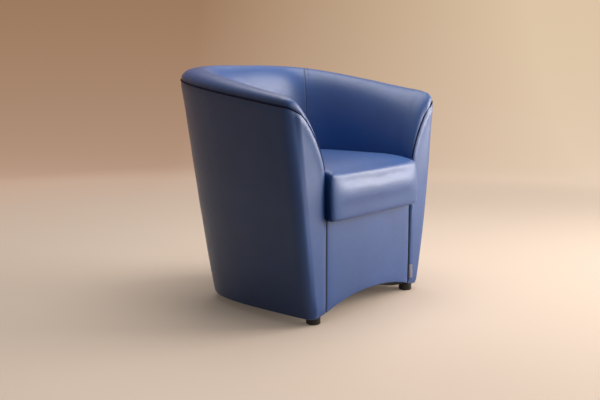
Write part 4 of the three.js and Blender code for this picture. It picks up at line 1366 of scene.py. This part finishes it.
@dataclass(frozen=True)
class Seat:
    """The thick seat: a squarish outline that spreads ahead of the arms, a soft crown and a full, rounded front."""

    finish: bpy.types.Material
    half_width: float = 214 * MM
    front_radius: float = 34 * MM
    rear_reach: float = 374 * MM
    front_reach: float = 67 * MM
    rear_squareness: float = 4.4
    front_squareness: float = 12.0
    swell: float = 8 * MM
    swell_start: float = 6 * MM
    swell_full: float = 26 * MM
    underside: float = 283 * MM
    edge_height: float = 430 * MM
    crown: float = 9 * MM
    front_drop: float = 19 * MM
    drop_length: float = 115 * MM
    overhang: float = 33 * MM
    top_radius: float = 13 * MM
    bottom_radius: float = 7 * MM
    side_draw: float = 3 * MM
    around: int = 240
    crowding: float = 0.15
    quarter_rings: int = 10
    floor_rings: int = 24
    side_rings: int = 30
    crown_rings: int = 60
    crown_crowding: float = 0.9
    pole_gap: float = 1e-5
    free_ahead: float = 4 * MM
    ahead_run: float = 20 * MM
    rise_run: float = 95 * MM
    side_run: float = 45 * MM
    rear_end: float = 0.37
    rear_run: float = 60 * MM
    top_depth: float = 40 * MM
    top_run: float = 25 * MM
    slack: float = 2 * MM
    voxel: float = 5 * MM
    pressure: float = 4.0
    frames: int = 20
    most_swelling: float = 3.5 * MM
    evening_passes: int = 40

    def edge(self, inset: Array) -> Array:
        """The outline in plan, drawn in by insets: a superellipse that is squarer in front and spreads there.

        Args:
            inset: Distances inside the outline, (insets,).

        Returns:
            X and y, (around, insets, 2).
        """
        even = (np.arange(self.around) + 0.5) / self.around * FULL_TURN
        angle = crowded(even, self.crowding)[:, None]
        behind = np.sin(angle) >= 0
        squareness = np.where(behind, self.rear_squareness, self.front_squareness)
        reach = np.where(behind, self.rear_reach, self.front_reach) - inset
        x, along = superellipse(angle, self.half_width - inset, reach, squareness)
        y = self.front_radius + along
        spread = self.swell * smooth((-y - self.swell_start) / (self.swell_full - self.swell_start))
        return np.stack([x + np.sign(x) * spread, y], axis=-1)

    def top(self, y: Array, share: Array) -> Array:
        """Height of the top: a crown over the share of the way out, and a fall to the front edge."""
        fall = np.maximum(0, 1 - (y + self.overhang) / self.drop_length) ** 2
        return self.edge_height + self.crown * (1 - share ** 2) - self.front_drop * fall

    def with_height(self, plan: Array, z: Array) -> Array:
        """Adds heights to places in plan, (around, rings, 3)."""
        return np.concatenate([plan, np.broadcast_to(z, plan.shape[:2])[..., None]], axis=-1)

    def surface(self) -> Surface:
        """The closed seat as rings from the middle of its underside, round its edge, to the middle of its crown.

        The lower and upper edges are quarter circles. The side between them stands out by a sine of its height.
        """
        turn = np.linspace(0, QUARTER_TURN, self.quarter_rings)
        centre = np.array([0, self.front_radius + (self.rear_reach - self.front_reach) / 2])
        floor_share = np.linspace(0, 1, self.floor_rings)[:-1]
        floor_plan = centre + (self.edge(np.array([self.bottom_radius])) - centre) * floor_share[None, :, None]
        low = self.with_height(self.edge(self.side_draw + self.bottom_radius * (1 - np.sin(turn))),
                               self.underside + self.bottom_radius * (1 - np.cos(turn)))
        plan = self.edge(self.side_draw + self.top_radius * (1 - np.cos(turn)))
        high = self.with_height(plan, self.top(plan[..., 1], 1.0) - self.top_radius * (1 - np.sin(turn)))
        side_share = np.linspace(0, 1, self.side_rings)[1:-1]
        middle = self.with_height(self.edge(self.side_draw * (1 - np.sin(np.pi * side_share))),
                                  between((low[:, -1:, 2], high[:, :1, 2]), side_share[None, :]))
        crown_share = np.linspace(1, 0, self.crown_rings)[1:] ** self.crown_crowding
        crown_plan = centre + (plan[:, -1:] - centre) * crown_share[None, :, None]
        crown = self.with_height(crown_plan, self.top(crown_plan[..., 1], crown_share[None, :]))
        rings = np.concatenate([self.with_height(floor_plan, self.underside), low, middle, high, crown], axis=1)
        faces = grid_faces(self.around, rings.shape[1], looped=True)
        return Surface(in_place(rings).reshape(-1, 3), faces)

    def freedom(self, points: Array) -> Array:
        """How free the cover is to swell: the front ahead of the arms and the top, and nothing at their edges.

        It is the greater of two products of smooth shares: ahead of the arms and above the lower edge, and above the
        side and inside the walls.

        Args:
            points: Points in space, (count, 3).

        Returns:
            Shares from 0 to 1, (count,).
        """
        x, y, z = points[:, 0], points[:, 1] - FRONT_FACE_Y, points[:, 2]
        ahead = smooth((-y - self.free_ahead) / self.ahead_run) * smooth((z - self.underside) / self.rise_run)
        inside = smooth((self.half_width - np.abs(x)) / self.side_run) * smooth((self.rear_end - y) / self.rear_run)
        return np.maximum(ahead, smooth((z - self.edge_height + self.top_depth) / self.top_run) * inside)

    def evaluated(self, piece: bpy.types.Object) -> bpy.types.Mesh:
        """The piece's mesh with its modifiers applied."""
        return bpy.data.meshes.new_from_object(piece.evaluated_get(bpy.context.evaluated_depsgraph_get()))

    def evened(self, data: bpy.types.Mesh, move: Array) -> Array:
        """Evens out the moves of a mesh's points.

        In each pass a point's move becomes the middle of itself and the mean of its neighbours' moves.

        Args:
            data: The mesh, for its edges.
            move: Moves, (count, 3).

        Returns:
            The evened moves.
        """
        ends = np.empty(len(data.edges) * 2, np.int32)
        data.edges.foreach_get("vertices", ends)
        ends = ends.reshape(-1, 2)
        here, there = np.concatenate([ends, ends[:, ::-1]]).T
        degree = np.bincount(here, minlength=len(move))[:, None]
        for _ in range(self.evening_passes):
            total = np.stack([np.bincount(here, move[there, axis], len(move)) for axis in range(3)], axis=-1)
            move = between((move, total / degree), 0.5)
        return move

    def inflated(self, piece: bpy.types.Object) -> bpy.types.Object:
        """Swells the seat's cover as air-filled cloth, and keeps the moves where it is free and under a limit.

        The cover is remeshed in even squares and starts a little slack. The moves of the simulation are evened out,
        because foam holds the cover from below. Each is then shortened to the limit and multiplied by its freedom.

        Args:
            piece: The seat.

        Returns:
            The same object, with its new mesh.
        """
        scene = bpy.context.scene
        voxels = piece.modifiers.new("voxels", "REMESH")
        voxels.mode = "VOXEL"
        voxels.voxel_size = self.voxel
        data = self.evaluated(piece)
        piece.modifiers.clear()
        piece.data = data
        count = len(data.vertices)
        full, normals = (np.empty(count * 3, np.float32) for _ in range(2))
        data.vertices.foreach_get("co", full)
        data.vertices.foreach_get("normal", normals)
        full, normals = full.reshape(-1, 3), normals.reshape(-1, 3)
        free = self.freedom(full)[:, None]
        start = full - normals * self.slack * free
        data.vertices.foreach_set("co", start.astype(np.float32).reshape(-1))
        data.update()
        cloth = piece.modifiers.new("air", "CLOTH").settings
        cloth.use_pressure = True
        cloth.uniform_pressure_force = self.pressure
        cloth.effector_weights.gravity = 0
        for frame_number in range(1, self.frames + 1):
            scene.frame_set(frame_number)
        swollen = np.empty(count * 3, np.float32)
        result = self.evaluated(piece)
        result.vertices.foreach_get("co", swollen)
        piece.modifiers.clear()
        scene.frame_set(1)
        move = self.evened(data, swollen.reshape(-1, 3) - start)
        size = np.maximum(np.linalg.norm(move, axis=1, keepdims=True), 1e-9)
        limited = move / size * self.most_swelling * np.tanh(size / self.most_swelling)
        log.info("seat: cloth moves of %.1f mm, at most %.1f mm", size.mean() / MM, size.max() / MM)
        data.vertices.foreach_set("co", (start + limited * free).astype(np.float32).reshape(-1))
        data.attributes.new("from_seam", "FLOAT", "POINT").data.foreach_set("value", np.ones(count, np.float32))
        data.polygons.foreach_set("use_smooth", np.ones(len(data.polygons), dtype=bool))
        data.update()
        softer = piece.modifiers.new("softer", "SUBSURF")
        softer.levels = softer.render_levels = 1
        return piece

    def build(self) -> None:
        piece = merged(self.surface().mesh("seat", self.finish), self.pole_gap)
        piece = self.inflated(piece)
        place(piece, "leatherette", "seat_cover", "seat_foam", fill=0.85)


@dataclass(frozen=True)
class FrontPanel:
    """The flat panel under the seat, with its arched lower edge and its edges turned into the seams."""

    finish: bpy.types.Material
    half_width: float = 205.4 * MM
    edge_turn: tuple[tuple[float, float], ...] = (
        (1.9 * MM, 0.8 * MM), (3.1 * MM, 2.0 * MM), (4.4 * MM, 10 * MM))
    top: float = 282.6 * MM
    arch_rise: float = 29 * MM
    arch_end: float = 29 * MM
    arch_power: float = 2.2
    crown: float = 2.0 * MM
    crown_run: float = 0.03
    swell: float = 0.5 * MM
    swell_pitch: float = 0.15
    depth: float = 10 * MM
    rear_gap: float = 1.5 * MM
    columns: int = 150
    rows: int = 90

    def build(self) -> None:
        """Makes the panel: a grid from the arch to the top, crowned, with rounded and turned-back edges."""
        across = np.linspace(-1, 1, self.columns)
        up = np.linspace(0, 1, self.rows)
        x = np.broadcast_to((across * self.half_width)[:, None], (self.columns, self.rows))
        arch = self.arch_end + self.arch_rise * (1 - np.abs(across) ** self.arch_power)
        z = arch[:, None] + up[None, :] * (self.top - arch[:, None])
        from_side = self.half_width - np.abs(x)
        from_arch = z - arch[:, None]
        out = self.crown * quarter_round(from_side / self.crown_run) * quarter_round(from_arch / self.crown_run)
        out = out + soft_swell(np.stack([x, z * 0, z], axis=-1), self.swell, self.swell_pitch, 5)
        face = np.stack([x, -out, z], axis=-1)
        turned_in = np.array([[out, back, 0] for out, back in self.edge_turn])[:, None]
        face = np.concatenate([(face[:1] + turned_in * MIRROR)[::-1], face, face[-1:] + turned_in])
        face = np.concatenate([face[:, :1] + np.array([0, self.depth, 0]), face], axis=1)
        rear = face.copy()
        rear[..., 1] = self.depth + self.rear_gap
        # Painted shade: the seam distance is 0 on the turned-back edges and small near the sides and the arch, so the
        # leatherette paints them dark as if in shade.
        seam = np.minimum(from_side, from_arch * 3)
        seam = np.pad(seam, ((len(self.edge_turn),) * 2, (1, 0)))
        piece = shell(in_place(face), in_place(rear), seam).mesh("front_panel", self.finish)
        place(piece, "leatherette", "front_panel_cover", fill=0.9)


# Feet, tag and underside


@dataclass(frozen=True)
class Feet:
    """Four turned plastic feet."""

    finish: bpy.types.Material
    radius: float = 20 * MM
    height: float = 22 * MM
    edge_radius: float = 4 * MM
    recess_radius: float = 6.5 * MM
    recess_depth: float = 8 * MM
    sides: int = 72

    def build(self) -> None:
        """Makes a foot at each of its four nodes."""
        turn = np.linspace(0, QUARTER_TURN, 8)
        lower = np.stack([self.radius - self.edge_radius * (1 - np.sin(turn)),
                          self.edge_radius * (1 - np.cos(turn))], axis=-1)
        recess = [[0, self.recess_depth], [self.recess_radius, self.recess_depth], [self.recess_radius, 0]]
        profile = np.concatenate([recess, lower, [[self.radius, self.height], [0, self.height]]])
        for end in ("front", "rear"):
            for side in Side:
                node = f"foot_{end}_{side.word}"
                low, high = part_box(node)
                centre = ((low.x + high.x) / 2, (low.y + high.y) / 2)
                piece = merged(turned(profile, centre, self.sides).mesh(f"{node}_turned", self.finish, 40))
                place(piece, "black_plastic", node)


@dataclass(frozen=True)
class Tag:
    """The small bare tag in the right front seam: a short tape whose free edge curls off the cover."""

    finish: bpy.types.Material
    seam_x: float = 211.4 * MM
    width: float = 11.8 * MM
    bottom: float = 45 * MM
    height: float = 42 * MM
    thickness: float = 0.5 * MM
    bulge: float = 4.6 * MM
    bulge_run: float = 9 * MM
    curl: float = 2.2 * MM
    gap: float = 0.4 * MM
    wave: float = 0.25 * MM
    narrowing: float = 0.1
    columns: int = 28
    rows: int = 40

    def build(self) -> None:
        """Makes the tape.

        It stands off the front face by the cover's bulge, a quarter circle of the distance from the seam, and by a
        curl, the square of the share of the width. Its free corners are a little rounder than square.
        """
        across, up = np.meshgrid(np.linspace(0, 1, self.columns), np.linspace(0, 1, self.rows), indexing="ij")
        narrow = 1 - self.narrowing * np.abs(2 * up - 1) ** 6
        x = self.seam_x + across * self.width * narrow
        stand_off = self.bulge * quarter_round(across * self.width / self.bulge_run) + self.curl * across ** 2
        stand_off = stand_off + self.wave * np.sin(3.1 * up + 2 * across)
        face = np.stack([x, FRONT_FACE_Y - self.gap - stand_off, self.bottom + up * self.height], axis=-1)
        rear = face + np.array([0, self.thickness, 0])
        piece = place(shell(face, rear).mesh("tag_tape", self.finish), "woven_tag", "tag")


@dataclass(frozen=True)
class DustCloth:
    """The black cloth stretched under the base, which rises behind the arch of the front panel."""

    wall: Wall
    finish: bpy.types.Material
    level: float = 21.4 * MM
    front: float = 10.6 * MM
    inset: float = 9 * MM
    arch_half_width: float = 208 * MM
    arch_rise: float = 29 * MM
    arch_power: float = 2.2
    arch_foot: float = 6.8 * MM
    arch_foot_run: float = 6 * MM
    fall_length: float = 120 * MM
    end_fall: float = 20 * MM
    end_place: float = 190 * MM
    end_run: float = 70 * MM
    thickness: float = 0.6 * MM
    outline_steps: int = 400
    front_step: float = 5 * MM
    row_crowding: float = 0.9
    columns: int = 120
    rows: int = 110

    def surface(self) -> tuple[Surface, float]:
        """The cloth, and its area.

        Its outline is the base line moved inwards. Its height is the level, and on top of that the arch's height less
        a little, times the square of what is left of the way to the back. That way is short at the ends of the arch,
        where the cloth passes below the base ring.

        Returns:
            The closed sheet and its area in square metres.
        """
        stations = self.wall.wall_stations(np.linspace(0, QUARTER_TURN, self.outline_steps))
        edge = stations.base + stations.inward * self.inset
        first = np.array([[edge[0, 0] - self.front_step, self.front, 0]])
        edge = np.concatenate([first, edge[edge[:, 1] > self.front]])
        y = between((self.front, edge[-1, 1] - 1e-5), np.linspace(0, 1, self.rows) ** self.row_crowding)
        half = np.interp(y, edge[:, 1], edge[:, 0])
        across = np.linspace(1, -1, self.columns)
        x = across[:, None] * half[None, :]
        y = np.broadcast_to(y[None, :], x.shape)
        fall = between((self.end_fall, self.fall_length), smooth((self.end_place - np.abs(x)) / self.end_run))
        along = np.clip(1 - (y - self.front) / fall, 0, 1) ** 2
        arch = np.clip(1 - np.abs(x / self.arch_half_width) ** self.arch_power, 0, 1)
        foot = self.arch_foot * smooth((self.arch_half_width - np.abs(x)) / self.arch_foot_run)
        face = np.stack([x, y + FRONT_FACE_Y, self.level + (foot + self.arch_rise * arch) * along], axis=-1)
        rear = face + np.array([0, 0, self.thickness])
        sides = np.cross(np.diff(face[:, :-1], axis=0), np.diff(face[:-1], axis=1))
        return shell(face, rear), float(np.linalg.norm(sides, axis=-1).sum())

    def build(self) -> None:
        surface, area = self.surface()
        piece = place(surface.mesh("dust_cloth", self.finish), "black_cloth", "dust_cover")


@dataclass(frozen=True)
class Carcass:
    """The CAD nodes that keep their shape and get their finish here."""

    finishes: dict[str, bpy.types.Material]

    def build(self) -> None:
        """Gives each shown node the finish of its slot."""
        for part in frame["record"]["subparts"]:
            node, slot = part["node"], part["material_slot"]
            obj = frame["nodes"][node]
            if slot in self.finishes and not obj.hide_render:
                obj.data.materials.clear()
                obj.data.materials.append(self.finishes[slot])
        log.info("carcass: %d nodes", len(frame["nodes"]))


def main() -> None:
    """Builds the studio and then the chair, from the padded wall to the feet."""
    logging.basicConfig(level=logging.INFO, format="%(name)s %(message)s")
    Studio().build()
    # The third colour is the painted shade of the seams.
    leather = Leatherette("blue_leatherette", (31, 76, 140), (35, 82, 148), (10, 22, 60)).material()
    # The welt's very dark navy is painted shade: it stands in for the shadows in the gaps on both sides of the piping.
    welt = Leatherette("piping_leatherette", (10, 18, 56), (14, 24, 66), (10, 18, 56), 0.6, 0.0, 0.15).material()
    finishes = {
        "timber": Grained("sawn_timber", (206, 172, 122), (170, 130, 84), (1, 1, 9), 26, 0.65).material(),
        "fibreboard": Grained("fibreboard", (160, 122, 80), (134, 98, 62), (1, 1, 1), 160, 0.8).material(),
        "foam": Fibrous("cut_foam", (236, 226, 184), (224, 210, 160), 900).material(),
        "wadding": Fibrous("fibre_wadding", (240, 240, 236), (222, 222, 218), 260).material(),
        "webbing": Woven("elastic_webbing", (52, 54, 60), (26, 27, 31), 260).material(),
        "black_cloth": Fibrous("pressed_black_cloth", (16, 16, 18), (8, 8, 9), 700, 0.9, 0.1 * MM).material(),
        "woven_tag": Woven("woven_tape", (188, 184, 192), (160, 157, 168), 900, ("X", "Z")).material(),
        "steel": PlatedSteel().material(),
        "black_plastic": Moulded("black_plastic", (9, 9, 10), (24, 24, 26)).material(),
        "leatherette": leather,
        "piping_leatherette": welt,
    }
    wall = Wall()
    stitches = StitchRow(Woven("sewing_thread", (72, 100, 156), (44, 64, 112), 900, ("X", "Z")).material())
    InnerPadding(wall, leather, stitches).build()
    OuterPadding(wall, leather).build()
    Piping(wall, welt).build()
    Seat(leather).build()
    FrontPanel(leather).build()
    Feet(finishes["black_plastic"]).build()
    Tag(finishes["woven_tag"]).build()
    DustCloth(wall, finishes["black_cloth"]).build()
    Carcass(finishes).build()


if __name__ == "__main__":
    main()
